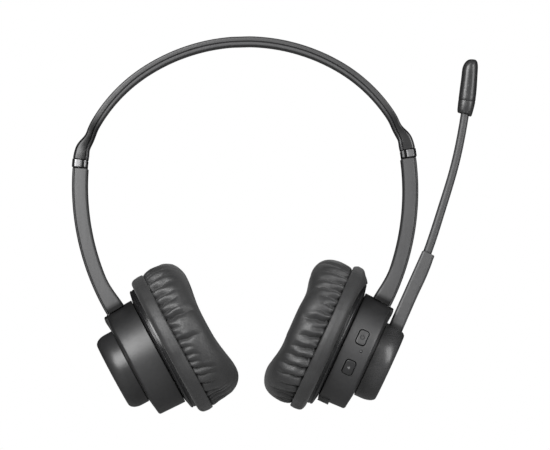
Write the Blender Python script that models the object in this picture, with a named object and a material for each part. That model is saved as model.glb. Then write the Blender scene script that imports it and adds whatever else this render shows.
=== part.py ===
"""Office headset: sprung headband, two sliding arms, two tilting on-ear cups, swinging boom microphone.

World frame: metres, +Z up. The origin is on the underside of the headband's middle, where it rests
on the crown of the head. +X is towards the microphone side, -Y is the side that carries the buttons.

All sizes below are in mm, and pieces are built in one of two frames:
  band frame  dist: path length from the crown, negative on the left; out: away from the head; y
  cup frame   depth: along the cup's axis, towards the head; y; rise: up across the axis
"""
from math import acos, asin, atan, atan2, copysign, cos, exp, inf, pi, radians, sin, sqrt, tan

import bmesh
import bpy
from mathutils import Matrix, Vector

MM = 0.001
SMOOTH_DEG = 32           # edges sharper than this stay hard

# ---------------------------------------------------------------- headband sizes
# Arcs of the band's centre line from the crown down: (radius, sweep in degrees); the last runs on.
BAND_ARCS = ((87.0, 31.5), (72.9, 37.6), (23.4, 13.65), (116.4, inf))
BAND_HALF = 2.11          # half thickness of the band
BAND_HALF_Y = 9.0
CROWN_FLAT = 4.0          # half length of the flat at the crown
NECK_DIP, NECK_DIP_AT, NECK_DIP_LEN = 0.45, 88.4, 3.4       # the neck runs this far inside,
NECK_RISE, NECK_RISE_AT, NECK_RISE_LEN = 0.4, 94.6, 2.6     # then outside, the plain arcs
WAIST, WAIST_AT, WAIST_REACH = 0.55, 86.0, 12.0             # narrowing along Y
FLARE_START, FLARE_END = 88.0, 98.9
CAP_IN, CAP_OUT = 3.25, 3.62      # half thickness at the collar, towards and away from the head
BAND_END = 85.4           # the band starts to change
CAP_END = 99.9            # band meets collar
COLLAR_END = 103.9        # collar ends, arm starts
COLLAR_GAP = 0.25         # between band and collar
SEAM = 0.15               # gap between band shell and liner
CAVITY_HALF_Y = 6.4       # hollow of shell, collar and arm
STRIP_HALF_Y = 3.6
RIVET_AT = 92.0
RIVET_HOLE_R = 1.1
CABLE_OUT, CABLE_Y, CABLE_R = 0.3, 5.4, 0.5

# ---------------------------------------------------------------- arm and slide sizes
ARM_HALF = 3.59           # half thickness of collar and arm
ARM_HALF_Y = 8.0
ARM_TOP = COLLAR_END + 0.3
ARM_LOW = ARM_TOP + 72.0
ARM_TRIM_R = 27.45        # the arm is cut away inside this radius of the cup's axis
TRAVEL = 25.0
CHORD = 36.0              # path length whose chord gives the slide's direction
SLIDE_OUT = 0.65          # the straight blade sits this far out from the chord
BLADE_HALF_Y, BLADE_HALF = 3.8, 0.5
BLADE_GRIP = 10.0
NOTCH = 0.35
SLOT_CLEAR = 0.15         # around the blade

# ---------------------------------------------------------------- ear cup sizes
CUP_TILT = radians(26.5)  # the axis rises this much above the horizontal
CUP_X, CUP_Z = 37.93, -139.36
PIVOT_DEPTH, PIVOT_RISE = -15.6, 20.7
HOUSING_OUTER_R, HOUSING_INNER_R = 26.5, 27.0     # at the end away from and nearer the head
HOUSING_END = -20.3       # depth of the end face
WALL = 1.7
WALL_MID_R = (HOUSING_OUTER_R + HOUSING_INNER_R) / 2
CAP_R = 18.66
DRIVER_R = 15.0
SCREW_Y, SCREW_RISE = 12.0, -17.5
CUSHION_BASE, CUSHION_WAVE = 4.65, 0.055
CUP_SEGS = 36
LED_DEPTH, LED_RISE = -14.7, 0.95
BOARD_R, BOARD_FLAT_RISE = 23.6, 14.6
BOARD_DEPTH = (-11.4, -10.6)

# ---------------------------------------------------------------- microphone boom sizes
STEM_FOOT, STEM_TOP = 17.0, 56.5
STEM_ROOT_END = 18.9      # below this the stem is a plain root inside the hub
STALK_R = 290.0
STALK_SLOPE = radians(3.0)
STALK_DEPTH = -24.2
STALK_HALF, STALK_HALF_Y = 1.95, 2.2
STALK_BOW, BOW_RISE, BOW_LEN = 0.65, 78.0, 18.0   # the stalk leans towards the head part-way up
FLEX_RISE = 59.0          # the stalk turns here
FLEX_DEPTH = -23.9
MIC_START, MIC_SEAM, MIC_END = 123.4, 129.1, 148.0
MIC_HALF, MIC_HALF_Y = 4.0, 4.1

for old in list(bpy.data.objects):
    bpy.data.objects.remove(old, do_unlink=True)

COLLECTION = bpy.context.scene.collection


# ---------------------------------------------------------------- materials
def material(name, rgb, roughness, metallic=0.0):
    mat = bpy.data.materials.new(name)
    mat.use_nodes = True
    shader = mat.node_tree.nodes["Principled BSDF"]
    shader.inputs["Base Color"].default_value = (*rgb, 1.0)
    shader.inputs["Roughness"].default_value = roughness
    shader.inputs["Metallic"].default_value = metallic
    mat.diffuse_color = (*rgb, 1.0)
    return mat


SATIN = material("satin_black_plastic", rgb=(0.045, 0.045, 0.047), roughness=0.42)
GREY = material("soft_grey_plastic", rgb=(0.09, 0.09, 0.092), roughness=0.5)
LINER = material("liner_plastic", rgb=(0.12, 0.12, 0.122), roughness=0.55)
GLOSS = material("gloss_black_plastic", rgb=(0.02, 0.02, 0.021), roughness=0.15)
LEATHER = material("leatherette", rgb=(0.05, 0.05, 0.052), roughness=0.45)
SCREEN = material("screen_cloth", rgb=(0.02, 0.02, 0.02), roughness=0.95)
STEEL = material("spring_steel", rgb=(0.6, 0.6, 0.6), roughness=0.3, metallic=1.0)
RUBBER = material("cable_rubber", rgb=(0.03, 0.03, 0.03), roughness=0.7)
BOARD = material("board_green", rgb=(0.02, 0.12, 0.05), roughness=0.5)
CELL = material("battery_foil", rgb=(0.35, 0.37, 0.4), roughness=0.4, metallic=0.6)
NICKEL = material("nickel", rgb=(0.55, 0.55, 0.52), roughness=0.3, metallic=1.0)
COPPER = material("copper", rgb=(0.6, 0.25, 0.12), roughness=0.35, metallic=1.0)
FILM = material("diaphragm_film", rgb=(0.3, 0.28, 0.24), roughness=0.35)
CLEAR = material("light_pipe_clear", rgb=(0.8, 0.8, 0.82), roughness=0.1)


# ---------------------------------------------------------------- numbers and outlines
def spread(start, end, steps):
    return [start + (end - start) * k / steps for k in range(steps + 1)]


def smooth(part):
    return part * part * (3 - 2 * part)


def ease(value, start, end):
    """Smooth 0 to 1 as the value's size goes from start to end."""
    return smooth(min(1.0, max(0.0, (abs(value) - start) / (end - start))))


def bump(value, centre, width):
    return exp(-((value - centre) / width) ** 2)


def sym(half):
    return -half, half


def rect(first, second):
    """Rectangle from its (low, high) range in each of two directions."""
    (left, right), (low, high) = first, second
    return [(left, low), (right, low), (right, high), (left, high)]


def circle(count):
    return [2 * pi * k / count for k in range(count)]


def rounded(points, radii, steps):
    """Polygon with each corner replaced by an arc of the given radius."""
    outline = []
    for i, (point, radius) in enumerate(zip(points, radii)):
        corner = Vector(point)
        if radius <= 0:
            outline.append(tuple(corner))
            continue
        back = (Vector(points[i - 1]) - corner).normalized()
        ahead = (Vector(points[(i + 1) % len(points)]) - corner).normalized()
        half = back.angle(ahead) / 2
        reach = radius / tan(half)
        centre = corner + (back + ahead).normalized() * (radius / sin(half))
        start, end = corner + back * reach - centre, corner + ahead * reach - centre
        first = atan2(start[1], start[0])
        turn = (atan2(end[1], end[0]) - first + pi) % (2 * pi) - pi
        for k in range(steps + 1):
            angle = first + turn * k / steps
            outline.append((centre[0] + radius * cos(angle), centre[1] + radius * sin(angle)))
    return outline


# ---------------------------------------------------------------- solids
def skin(rings, closed=False):
    """Rings of equal length (or single points) joined in turn; open ends are capped."""
    mesh = bmesh.new()
    loops = [[mesh.verts.new(point) for point in ring] for ring in rings]
    pairs = list(zip(loops, loops[1:]))
    if closed:
        pairs.append((loops[-1], loops[0]))
    for one, two in pairs:
        count = max(len(one), len(two))
        for i in range(count):
            j = (i + 1) % count
            if len(one) == 1:
                mesh.faces.new((one[0], two[i], two[j]))
            elif len(two) == 1:
                mesh.faces.new((one[i], two[0], one[j]))
            else:
                mesh.faces.new((one[i], two[i], two[j], one[j]))
    if not closed:
        for end in (loops[0], loops[-1]):
            if len(end) > 1:
                mesh.faces.new(end)
    bmesh.ops.recalc_face_normals(mesh, faces=mesh.faces)
    return mesh


def lathe(profile, segs=CUP_SEGS, wave=None):
    """Closed profile of (depth, radius) spun about the cup's axis.

    An edge on the axis closes the shape. wave(depth, angle) shifts the depth around the ring.
    """
    on_axis = [i for i in range(len(profile)) if profile[i - 1][1] < 1e-9 and profile[i][1] < 1e-9]
    if on_axis:
        profile = profile[on_axis[0]:] + profile[:on_axis[0]]
    rings = []
    for depth, radius in profile:
        if radius < 1e-9:
            rings.append([(depth, 0.0, 0.0)])
        else:
            rings.append([(wave(depth, angle) if wave else depth,
                           radius * sin(angle), radius * cos(angle)) for angle in circle(segs)])
    return skin(rings, closed=not on_axis)


def rod(start, end, radius, segs):
    start, end = Vector(start), Vector(end)
    axis = (end - start).normalized()
    side = axis.orthogonal().normalized()
    across = axis.cross(side)
    return skin([[tuple(centre + side * radius * cos(angle) + across * radius * sin(angle))
                  for angle in circle(segs)] for centre in (start, end)])


def along_y(outline, y_range):
    """Outline in (depth, rise) extruded along Y."""
    return skin([[(depth, y, rise) for depth, rise in outline] for y in y_range])


def along_depth(outline, depth_range):
    """Outline in (y, rise) extruded along the cup's axis."""
    return skin([[(depth, y, rise) for y, rise in outline] for depth in depth_range])


def tidy(mesh):
    """The mesh with near-double points merged, at the first distance that leaves it closed."""
    for weld in (2e-4, 5e-5, 1e-5, 0.0):
        result = bmesh.new()
        result.from_mesh(mesh)
        if weld:
            bmesh.ops.remove_doubles(result, verts=result.verts, dist=weld)
            bmesh.ops.dissolve_degenerate(result, edges=result.edges, dist=weld)
        if all(edge.is_manifold for edge in result.edges):
            break
    return result


def boolean(operation, solid, tools):
    """Applies the tools one after another with the exact solver."""
    for tool in tools:
        pair = []
        for part in (solid, tool):
            bmesh.ops.recalc_face_normals(part, faces=part.faces)
            mesh = bpy.data.meshes.new("work")
            part.to_mesh(mesh)
            part.free()
            work = bpy.data.objects.new("work", mesh)
            COLLECTION.objects.link(work)
            pair.append(work)
        modifier = pair[0].modifiers.new("cut", "BOOLEAN")
        modifier.operation = operation
        modifier.solver = "EXACT"
        modifier.object = pair[1]
        bpy.context.view_layer.update()
        graph = bpy.context.evaluated_depsgraph_get()
        solid = tidy(pair[0].evaluated_get(graph).to_mesh())
        for work in pair:
            bpy.data.objects.remove(work, do_unlink=True)
    return solid


def cut(solid, *tools):
    return boolean("DIFFERENCE", solid, tools)


def join(solid, *tools):
    return boolean("UNION", solid, tools)


# ---------------------------------------------------------------- objects
EMPTIES = {}


def body_empty(name, point):
    """Origin of one moving body; its pieces are parented to it."""
    empty = bpy.data.objects.new(name + "_pivot", None)
    empty.location = Vector(point) * MM
    COLLECTION.objects.link(empty)
    EMPTIES[name] = empty


def place(name, solid, mat, body, frame=None):
    """Maps a solid in mm into the world and hangs it on its body's empty."""
    if frame is not None:
        bmesh.ops.transform(solid, matrix=frame, verts=solid.verts)
    origin = EMPTIES[body].location
    for vert in solid.verts:
        vert.co = vert.co * MM - origin
    bmesh.ops.recalc_face_normals(solid, faces=solid.faces)
    mesh = bpy.data.meshes.new(name)
    solid.to_mesh(mesh)
    solid.free()
    mesh.materials.append(mat)
    piece = bpy.data.objects.new(name, mesh)
    COLLECTION.objects.link(piece)
    piece.parent = EMPTIES[body]
    for polygon in mesh.polygons:
        polygon.use_smooth = True
    mesh.set_sharp_from_angle(angle=radians(SMOOTH_DEG))


# ---------------------------------------------------------------- band frame
FLAT_ANGLE = CROWN_FLAT / BAND_ARCS[0][0]
TOP_Z = BAND_ARCS[0][0] * (1 - cos(FLAT_ANGLE)) + BAND_HALF * cos(FLAT_ANGLE)


def neck_offset(dist):
    """The neck's gentle S: inside the plain arcs above the flare, outside them in it."""
    return (NECK_RISE * bump(dist, NECK_RISE_AT, NECK_RISE_LEN)
            - NECK_DIP * bump(dist, NECK_DIP_AT, NECK_DIP_LEN))


def path(dist):
    """Centre of the band on the right: (x, z, heading below the horizontal)."""
    x, z, heading, remaining = 0.0, TOP_Z, 0.0, dist
    for radius, degrees in BAND_ARCS:
        part = min(remaining, radius * radians(degrees))
        centre_x, centre_z = x - radius * sin(heading), z - radius * cos(heading)
        heading += part / radius
        x, z = centre_x + radius * sin(heading), centre_z + radius * cos(heading)
        remaining -= part
    offset = neck_offset(dist)
    turn = atan((neck_offset(dist + 0.1) - neck_offset(dist - 0.1)) / 0.2)
    return x + offset * sin(heading), z + offset * cos(heading), heading - turn


def on_path(dist, out, y):
    x, z, heading = path(abs(dist))
    x, z = x + out * sin(heading), z + out * cos(heading)
    return (x if dist >= 0 else -x, y, z)


def sweep(stations, section):
    """Section in (out, y), fixed or a function of dist, carried along the path."""
    return skin([[on_path(dist, out, y)
                  for out, y in (section(dist) if callable(section) else section)]
                 for dist in stations])


def side_stations(sign, start, end, steps):
    return [sign * dist for dist in spread(start, end, steps)]


def band_stations(middle, end, steps, end_steps):
    """Stations of both halves, with a second spacing from middle to end."""
    right = spread(CROWN_FLAT, middle, steps) + spread(middle, end, end_steps)[1:]
    return [-dist for dist in reversed(right)] + right


SLIDE_X, SLIDE_Z, _ = path(COLLAR_END)
CHORD_X, CHORD_Z, _ = path(COLLAR_END + CHORD)
SLIDE_DIR = Vector((CHORD_X - SLIDE_X, 0, CHORD_Z - SLIDE_Z)).normalized()


def on_slide(down, out):
    """(x, z) on the right slide, from the collar's end down the chord and out from it."""
    return (SLIDE_X + SLIDE_DIR.x * down - SLIDE_DIR.z * out,
            SLIDE_Z + SLIDE_DIR.z * down + SLIDE_DIR.x * out)


# ---------------------------------------------------------------- cup frame
SIDES = {"left": -1, "right": 1}


def cup_frame(sign):
    return Matrix(((-sign * cos(CUP_TILT), 0, sign * sin(CUP_TILT), sign * CUP_X),
                   (0, 1, 0, 0),
                   (sin(CUP_TILT), 0, cos(CUP_TILT), CUP_Z),
                   (0, 0, 0, 1)))


FRAMES = {side: cup_frame(sign) for side, sign in SIDES.items()}


def on_wall(rise, depth, radius, along=0.0):
    """Point on the radius through the -Y wall at the given rise; along runs up the tangent."""
    angle = asin(rise / WALL_MID_R)
    radial = Vector((0, -cos(angle), sin(angle)))
    tangent = Vector((0, sin(angle), cos(angle)))
    return Vector((depth, 0, 0)) + radial * radius + tangent * along


def screw_rods(depth_range, radius, segs):
    start, end = depth_range
    return [rod((start, y, SCREW_RISE), (end, y, SCREW_RISE), radius, segs)
            for y in sym(SCREW_Y)]


def pivot_rod(half_length, radius):
    return rod((PIVOT_DEPTH, -half_length, PIVOT_RISE), (PIVOT_DEPTH, half_length, PIVOT_RISE),
               radius, 24)


# Keys on the -Y wall: centre, half sizes along the axis and up the wall, radius of the crowned top.
BUTTONS = {
    "upper": dict(depth=-12.65, y=-25.79, rise=7.1, half_depth=2.2, half_height=3.55,
                  top_r=27.15, mat=GREY),
    "lower": dict(depth=-12.75, y=-25.48, rise=-8.15, half_depth=2.35, half_height=3.5,
                  top_r=27.3, mat=SATIN),
}
BUTTON_CORNER_R = 1.3
BUTTON_CHAMFER = 0.3


def button_solid(button, grow, low, high, crowned=False):
    """Rounded key between two radii; its top follows the housing's curve."""
    corner = BUTTON_CORNER_R + grow
    flat_depth = button["half_depth"] + grow - corner
    flat_height = button["half_height"] + grow - corner
    rings = []
    for k in range(13):
        angle = -pi / 2 + pi * k / 12
        along = copysign(flat_height, k - 6) + corner * sin(angle) if k != 6 else 0.0
        half = max(flat_depth + corner * cos(angle), flat_depth + 0.05)
        top = sqrt(high * high - along * along)
        if crowned:
            row = [(-half, low), (-half, top - BUTTON_CHAMFER), (-half + BUTTON_CHAMFER, top),
                   (half - BUTTON_CHAMFER, top), (half, top - BUTTON_CHAMFER), (half, low)]
        else:
            row = [(-half, low), (-half, top), (half, top), (half, low)]
        rings.append([tuple(on_wall(button["rise"], button["depth"] + offset, radius, along))
                      for offset, radius in row])
    return skin(rings)


# ---------------------------------------------------------------- body empties
def cup_point(side, depth, y, rise):
    return FRAMES[side] @ Vector((depth, y, rise))


body_empty("headband", (0, 0, 0))
for side, sign in SIDES.items():
    body_empty(side + "_arm", (sign * SLIDE_X, 0, SLIDE_Z))
    body_empty(side + "_cup", cup_point(side, PIVOT_DEPTH, 0, PIVOT_RISE))
body_empty("boom", cup_point("right", 0, 0, 0))
body_empty("mic", cup_point("right", FLEX_DEPTH, 0, FLEX_RISE))
for key, button in BUTTONS.items():
    body_empty(key + "_button", cup_point("right", button["depth"], button["y"], button["rise"]))


# ---------------------------------------------------------------- headband
def inner_half(dist):
    return BAND_HALF + (CAP_IN - BAND_HALF) * ease(dist, FLARE_START, FLARE_END)


def outer_half(dist):
    return BAND_HALF + (CAP_OUT - BAND_HALF) * ease(dist, FLARE_START, FLARE_END)


def seam_out(dist):
    """Seam between shell and liner: near mid-thickness at the crown, nearer the head at the ends."""
    share = 0.1 + 0.2 * ease(dist, 30.0, 85.0) + 0.3 * ease(dist, 84.0, 96.0)
    return -inner_half(dist) * share


def band_half_y(dist):
    """The band narrows a little at the neck before the flare."""
    return BAND_HALF_Y - WAIST * smooth(max(0.0, 1.0 - abs(abs(dist) - WAIST_AT) / WAIST_REACH))


def shell_section(dist):
    """Channel open towards the liner."""
    top, half, seam = outer_half(dist), band_half_y(dist), seam_out(dist)
    return [(seam, -half + 0.25), (seam + 0.3, -half), (top - 0.7, -half), (top, -half + 0.8),
            (top, half - 0.8), (top - 0.7, half), (seam + 0.3, half), (seam, half - 0.25),
            (seam, CAVITY_HALF_Y), (1.5, CAVITY_HALF_Y), (1.5, -CAVITY_HALF_Y),
            (seam, -CAVITY_HALF_Y)]


def liner_section(dist):
    base, half, seam = -inner_half(dist), band_half_y(dist), seam_out(dist) - SEAM
    return [(seam, -half + 0.25), (seam - 0.3, -half), (base + 0.5, -half), (base, -half + 0.7),
            (base, half - 0.7), (base + 0.5, half), (seam - 0.3, half), (seam, half - 0.25)]


CABLE_SECTION = [(CABLE_OUT + CABLE_R * cos(angle), CABLE_Y + CABLE_R * sin(angle))
                 for angle in circle(5)]


def rivet_point(sign, out):
    return Vector(on_path(sign * RIVET_AT, out, 0))


def rivet_hole(sign, low, high):
    return rod(rivet_point(sign, low), rivet_point(sign, high), RIVET_HOLE_R, 16)


def make_headband():
    stations = band_stations(BAND_END, CAP_END, 14, 9)
    place("headband_shell", sweep(stations, shell_section), SATIN, "headband")
    place("headband_liner", sweep(stations, liner_section), LINER, "headband")
    strip = sweep(band_stations(82.0, 93.6, 12, 9), rect((0.85, 1.35), sym(STRIP_HALF_Y)))
    strip = cut(strip, *[rivet_hole(sign, -1, 3) for sign in (-1, 1)])
    place("spring_strip", strip, STEEL, "headband")
    cable = sweep(band_stations(82.0, 101.5, 10, 10), CABLE_SECTION)
    place("headband_cable", cable, RUBBER, "headband")


def make_collar(side, sign):
    """The mouth that the arm meets."""
    section = rounded(rect((-ARM_HALF + 0.3, ARM_HALF + 0.2), sym(BAND_HALF_Y)), [0.9] * 4, 3)
    collar = sweep(side_stations(sign, CAP_END + COLLAR_GAP, COLLAR_END, 4), section)
    cavity = sweep(side_stations(sign, CAP_END - 1.0, COLLAR_END + 1.0, 6),
                   rect((-1.3, 1.75), sym(CAVITY_HALF_Y)))
    place(side + "_collar", cut(collar, cavity), GREY, "headband")


def make_blade(side, sign):
    """Bent where it is riveted in the band, straight and notched where the arm slides on it."""
    points = []
    for dist in (90.5, 93.0, 95.5, 98.0):
        x, _, z = on_path(dist, 0.12 + (dist - 90.5) / 7.5 * 0.4, 0)
        points.append((x, z))
    for down in [-2.5] + spread(0.0, TRAVEL + BLADE_GRIP, 14):
        points.append(on_slide(down, SLIDE_OUT))
    halves = [BLADE_HALF_Y] * 5
    halves += [BLADE_HALF_Y - (NOTCH if k % 2 else 0.0) for k in range(len(points) - 5)]
    rings = []
    for i, ((x, z), half_y) in enumerate(zip(points, halves)):
        before, after = points[max(0, i - 1)], points[min(len(points) - 1, i + 1)]
        tangent = (Vector(after) - Vector(before)).normalized()
        rings.append([(sign * (x - tangent[1] * out), y, z + tangent[0] * out)
                      for out, y in rect(sym(BLADE_HALF), sym(half_y))])
    place(side + "_blade", cut(skin(rings), rivet_hole(sign, -2, 2.5)), STEEL, "headband")


# Rivet with a head on each side: (out, radius).
RIVET_PROFILE = [(-0.62, 0.0), (-0.62, 1.5), (-0.42, 1.6), (-0.42, 1.0),
                 (1.38, 1.0), (1.38, 1.6), (1.47, 1.5), (1.47, 0.0)]


def make_rivet(side, sign):
    """Clamps the spring strip to the blade."""
    centre = rivet_point(sign, 0)
    axis = rivet_point(sign, 1) - centre
    along = Vector((0, 1, 0))
    across = axis.cross(along)
    rings = []
    for out, radius in RIVET_PROFILE:
        angles = circle(14) if radius else [0.0]
        rings.append([tuple(centre + axis * out + (along * cos(angle) + across * sin(angle)) * radius)
                      for angle in angles])
    place(side + "_rivet", skin(rings), NICKEL, "headband")


# ---------------------------------------------------------------- arms
def cup_clearance(side):
    """Cylinder about the cup's axis that trims the arm's lower end."""
    solid = lathe([(-40, 0), (-40, ARM_TRIM_R), (20, ARM_TRIM_R), (20, 0)])
    bmesh.ops.transform(solid, matrix=FRAMES[side], verts=solid.verts)
    return solid


def blade_slot(sign):
    section = rect(sym(BLADE_HALF + SLOT_CLEAR), sym(BLADE_HALF_Y + SLOT_CLEAR))
    rings = []
    for down in (-3.0, 9.0):
        ring = []
        for out, y in section:
            x, z = on_slide(down, SLIDE_OUT + out)
            ring.append((sign * x, y, z))
        rings.append(ring)
    return skin(rings)


def make_arm(side, sign):
    body = side + "_arm"
    stations = side_stations(sign, ARM_TOP, ARM_LOW, 18)
    section = rounded(rect((-ARM_HALF - 0.18, 2.37), sym(ARM_HALF_Y)), [1.15, 0.25, 0.25, 1.15], 2)
    cavity = sweep(side_stations(sign, ARM_TOP + 5.0, ARM_LOW + 3.0, 14),
                   rect((-2.2, 3.2), sym(CAVITY_HALF_Y)))
    duct = sweep(side_stations(sign, ARM_TOP - 3.0, ARM_TOP + 8.0, 4),
                 rect((-0.5, 1.1), (4.6, 6.2)))
    shell = cut(sweep(stations, section), cavity, blade_slot(sign), duct, cup_clearance(side))
    place(body + "_shell", shell, GREY, body)

    section = rounded(rect((2.5, ARM_HALF - 0.15), sym(ARM_HALF_Y)), [0.15, 0.75, 0.75, 0.15], 2)
    cover = cut(sweep(stations, section), cup_clearance(side))
    place(body + "_cover", cover, SATIN, body)

    cable = sweep(side_stations(sign, ARM_TOP + 1.5, ARM_TOP + 62.0, 12), CABLE_SECTION)
    place(body + "_cable", cable, RUBBER, body)


def make_foot(side):
    """Tongue glued into the arm, with the eye that turns on the pivot pin."""
    tongue_half, eye_r, tongue_top, neck_rise = 2.1, 2.7, 33.0, 22.4
    outline = [(PIVOT_DEPTH - tongue_half, tongue_top), (PIVOT_DEPTH - tongue_half, neck_rise)]
    outline += [(PIVOT_DEPTH + eye_r * sin(radians(angle)), PIVOT_RISE + eye_r * cos(radians(angle)))
                for angle in range(-50, -311, -20)]
    outline += [(PIVOT_DEPTH + tongue_half, neck_rise), (PIVOT_DEPTH + tongue_half, tongue_top)]
    foot = cut(along_y(outline, (-5.0, 4.5)), pivot_rod(7, 1.31))
    place(side + "_arm_foot", foot, SATIN, side + "_arm", FRAMES[side])
    place(side + "_pivot_pin", pivot_rod(8.2, 1.25), STEEL, side + "_arm", FRAMES[side])


# ---------------------------------------------------------------- cups
# Turned profiles: (depth, radius).
HOUSING_PROFILE = rounded(
    [(-5.8, HOUSING_INNER_R), (-19.3, HOUSING_OUTER_R), (HOUSING_END, 19.4), (HOUSING_END, 0.0),
     (HOUSING_END + WALL, 0.0), (HOUSING_END + WALL, HOUSING_OUTER_R - WALL), (-5.8, 25.2)],
    [0, 1.1, 0.4, 0, 0, 0, 0], 2)
BAFFLE_PROFILE = [(-5.55, 26.2), (-4.7, 30.3), (-4.2, 31.0), (-2.45, 31.0), (-0.8, 31.0),
                  (-0.8, 15.3), (-2.45, 15.3), (-2.45, 24.6), (-5.55, 24.6)]
SCREW_PROFILE = [(0.4, 0.0), (0.4, 1.5), (0.0, 1.9), (-0.72, 1.9), (-0.72, 0.95), (-8.0, 0.95),
                 (-8.6, 0.0)]
CUSHION_PROFILE = [(CUSHION_BASE, 33.4), (5.7, 34.6), (8.2, 35.25), (11.5, 35.3), (15.0, 34.5),
                   (17.9, 32.7), (19.8, 30.0), (20.8, 26.4), (20.5, 22.4), (18.6, 18.2),
                   (14.8, 15.2), (9.5, 14.0), (CUSHION_BASE, 14.0)]
PAD_RING_PROFILE = rounded(
    [(-2.2, 31.3), (-2.2, 35.1), (2.4, 35.45), (4.4, 35.3), (4.4, 24.0), (2.6, 24.0), (2.6, 31.3)],
    [0, 1.3, 0, 0.8, 0, 0, 0], 2)
SCREEN_PROFILE = [(2.9, 0.0), (2.9, 23.7), (3.5, 23.7), (3.5, 0.0)]
DRIVER_PROFILE = [(-6.6, 6.5), (-6.6, DRIVER_R), (-4.2, DRIVER_R), (-4.2, 16.4), (-2.65, 16.4),
                  (-2.65, DRIVER_R), (-0.7, DRIVER_R), (-0.7, 13.8), (-5.4, 13.8), (-5.4, 6.5)]
MAGNET_PROFILE = [(-9.2, 0.0), (-9.2, 6.3), (-3.6, 6.3), (-3.6, 0.0)]
DIAPHRAGM_PROFILE = [(-1.4, 13.6), (-1.7, 13.6), (-2.4, 11.4), (-2.4, 7.4), (-1.6, 4.0),
                     (-1.2, 0.0), (-0.95, 0.0), (-1.35, 4.0), (-2.1, 7.5), (-2.1, 11.3)]
COIL_PROFILE = [(-3.4, 6.6), (-3.4, 7.3), (-2.6, 7.3), (-2.6, 6.6)]

# Plain turned pieces of each cup: (name, profile, segments, material).
TURNED_PIECES = (
    ("pad_ring", PAD_RING_PROFILE, CUP_SEGS, SATIN),
    ("dust_screen", SCREEN_PROFILE, 30, SCREEN),
    ("driver_frame", DRIVER_PROFILE, 24, GREY),
    ("driver_magnet", MAGNET_PROFILE, 20, STEEL),
    ("diaphragm", DIAPHRAGM_PROFILE, 20, FILM),
    ("voice_coil", COIL_PROFILE, 20, COPPER),
)

# Outlines on the housing: (y, rise).
SOCKET_OUTLINE = rounded([(-9.2, 19.1), (9.2, 19.1), (8.4, 25.4), (-8.4, 25.4)],
                         [0.8, 0.8, 1.0, 1.0], 2)
PORT_BOSS_OUTLINE = rounded([(-7.5, -24.6), (7.5, -24.6), (6.6, -28.0), (-6.6, -28.0)],
                            [0, 0, 0.9, 0.9], 2)


def make_housing(side):
    """Outer shell; the right one also takes the hub, the port, the keys and the light."""
    right = side == "right"
    housing = lathe(HOUSING_PROFILE)
    if right:
        housing = join(housing, along_depth(PORT_BOSS_OUTLINE, (-11.4, -6.1)))
    # Raised socket at the top of the end face, where the arm goes in, then the screw bosses.
    housing = join(housing, along_depth(SOCKET_OUTLINE, (-20.9, -19.2)),
                   *screw_rods((-19.2, -2.75), 2.6, 16))
    arm_opening = along_depth(rect(sym(5.6), (20.0, 30.0)), (-18.7, -12.5))
    housing = cut(housing, arm_opening, *screw_rods((-16.0, -1.0), 1.05, 12))
    if right:
        hub_bore = rod((-25.0, 0, 0), (-15.0, 0, 0), 5.1, 32)
        port = along_depth(rect(sym(4.75), (-32.0, -22.0)), (-10.5, -6.9))
        keyholes = [button_solid(button, 0.32, 22.0, 31.0) for button in BUTTONS.values()]
        light_hole = rod(on_wall(LED_RISE, LED_DEPTH, 22), on_wall(LED_RISE, LED_DEPTH, 30), 0.75, 16)
        housing = cut(housing, hub_bore, port, *keyholes, light_hole)
    place(side + "_housing", housing, SATIN, side + "_cup", FRAMES[side])


def make_pivot_block(side):
    """Forked block that carries the pivot pin."""
    block = along_y(rect((-18.3, -12.7), (15.4, 22.8)), sym(8.5))
    gap = along_depth(rect(sym(5.4), (17.5, 26)), (-20, -10))
    place(side + "_pivot_block", cut(block, gap, pivot_rod(10, 1.34)), GREY, side + "_cup",
          FRAMES[side])


def make_baffle(side):
    """Baffle with the glossy rim between housing and pad ring, and its screws."""
    baffle = cut(lathe(BAFFLE_PROFILE), *screw_rods((-4, 1), 1.15, 12))
    place(side + "_baffle", baffle, GLOSS, side + "_cup", FRAMES[side])
    for i, y in enumerate(sym(SCREW_Y)):
        screw = lathe(SCREW_PROFILE, 10)
        bmesh.ops.translate(screw, vec=(0, y, SCREW_RISE), verts=screw.verts)
        place(f"{side}_screw_{i + 1}", screw, NICKEL, side + "_cup", FRAMES[side])


def cushion_wave(depth, angle):
    """Thicker at the top and bottom of the ring, thinner at its sides."""
    return CUSHION_BASE + (depth - CUSHION_BASE) * (1 + CUSHION_WAVE * cos(2 * angle))


def make_ear_side(side):
    body, frame = side + "_cup", FRAMES[side]
    place(side + "_cushion", lathe(CUSHION_PROFILE, wave=cushion_wave), LEATHER, body, frame)
    for name, profile, segs, mat in TURNED_PIECES:
        place(f"{side}_{name}", lathe(profile, segs), mat, body, frame)


# ---------------------------------------------------------------- left cover, right hub, stem
HUB_BORE_PROFILE = [(-16.6, 0.0), (-16.6, 4.6), (-17.1, 4.9), (-17.1, 4.1), (-18.35, 4.1),
                    (-18.35, 5.0), (-28.8, 5.0), (-28.8, 15.6)]


def make_left_cover():
    profile = rounded([(-20.55, 17.2), (-20.55, CAP_R), (-30.0, CAP_R - 0.1), (-30.0, 0.0),
                       (-28.3, 0.0), (-28.3, 16.6)], [0, 0.3, 3.3, 0, 0, 0], 4)
    place("left_cover", lathe(profile), SATIN, "left_cup", FRAMES["left"])


def make_hub():
    cap = rounded([(-20.65, 17.0), (-20.65, CAP_R), (-30.6, CAP_R - 0.1), (-30.6, 0.0)],
                  [0, 0.3, 3.3, 0], 4)
    stem_hole = along_depth(rect(sym(4.3), (10.0, 22.0)), (-28.0, -21.9))
    place("boom_hub", cut(lathe(HUB_BORE_PROFILE + cap), stem_hole), SATIN, "boom",
          FRAMES["right"])


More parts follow.
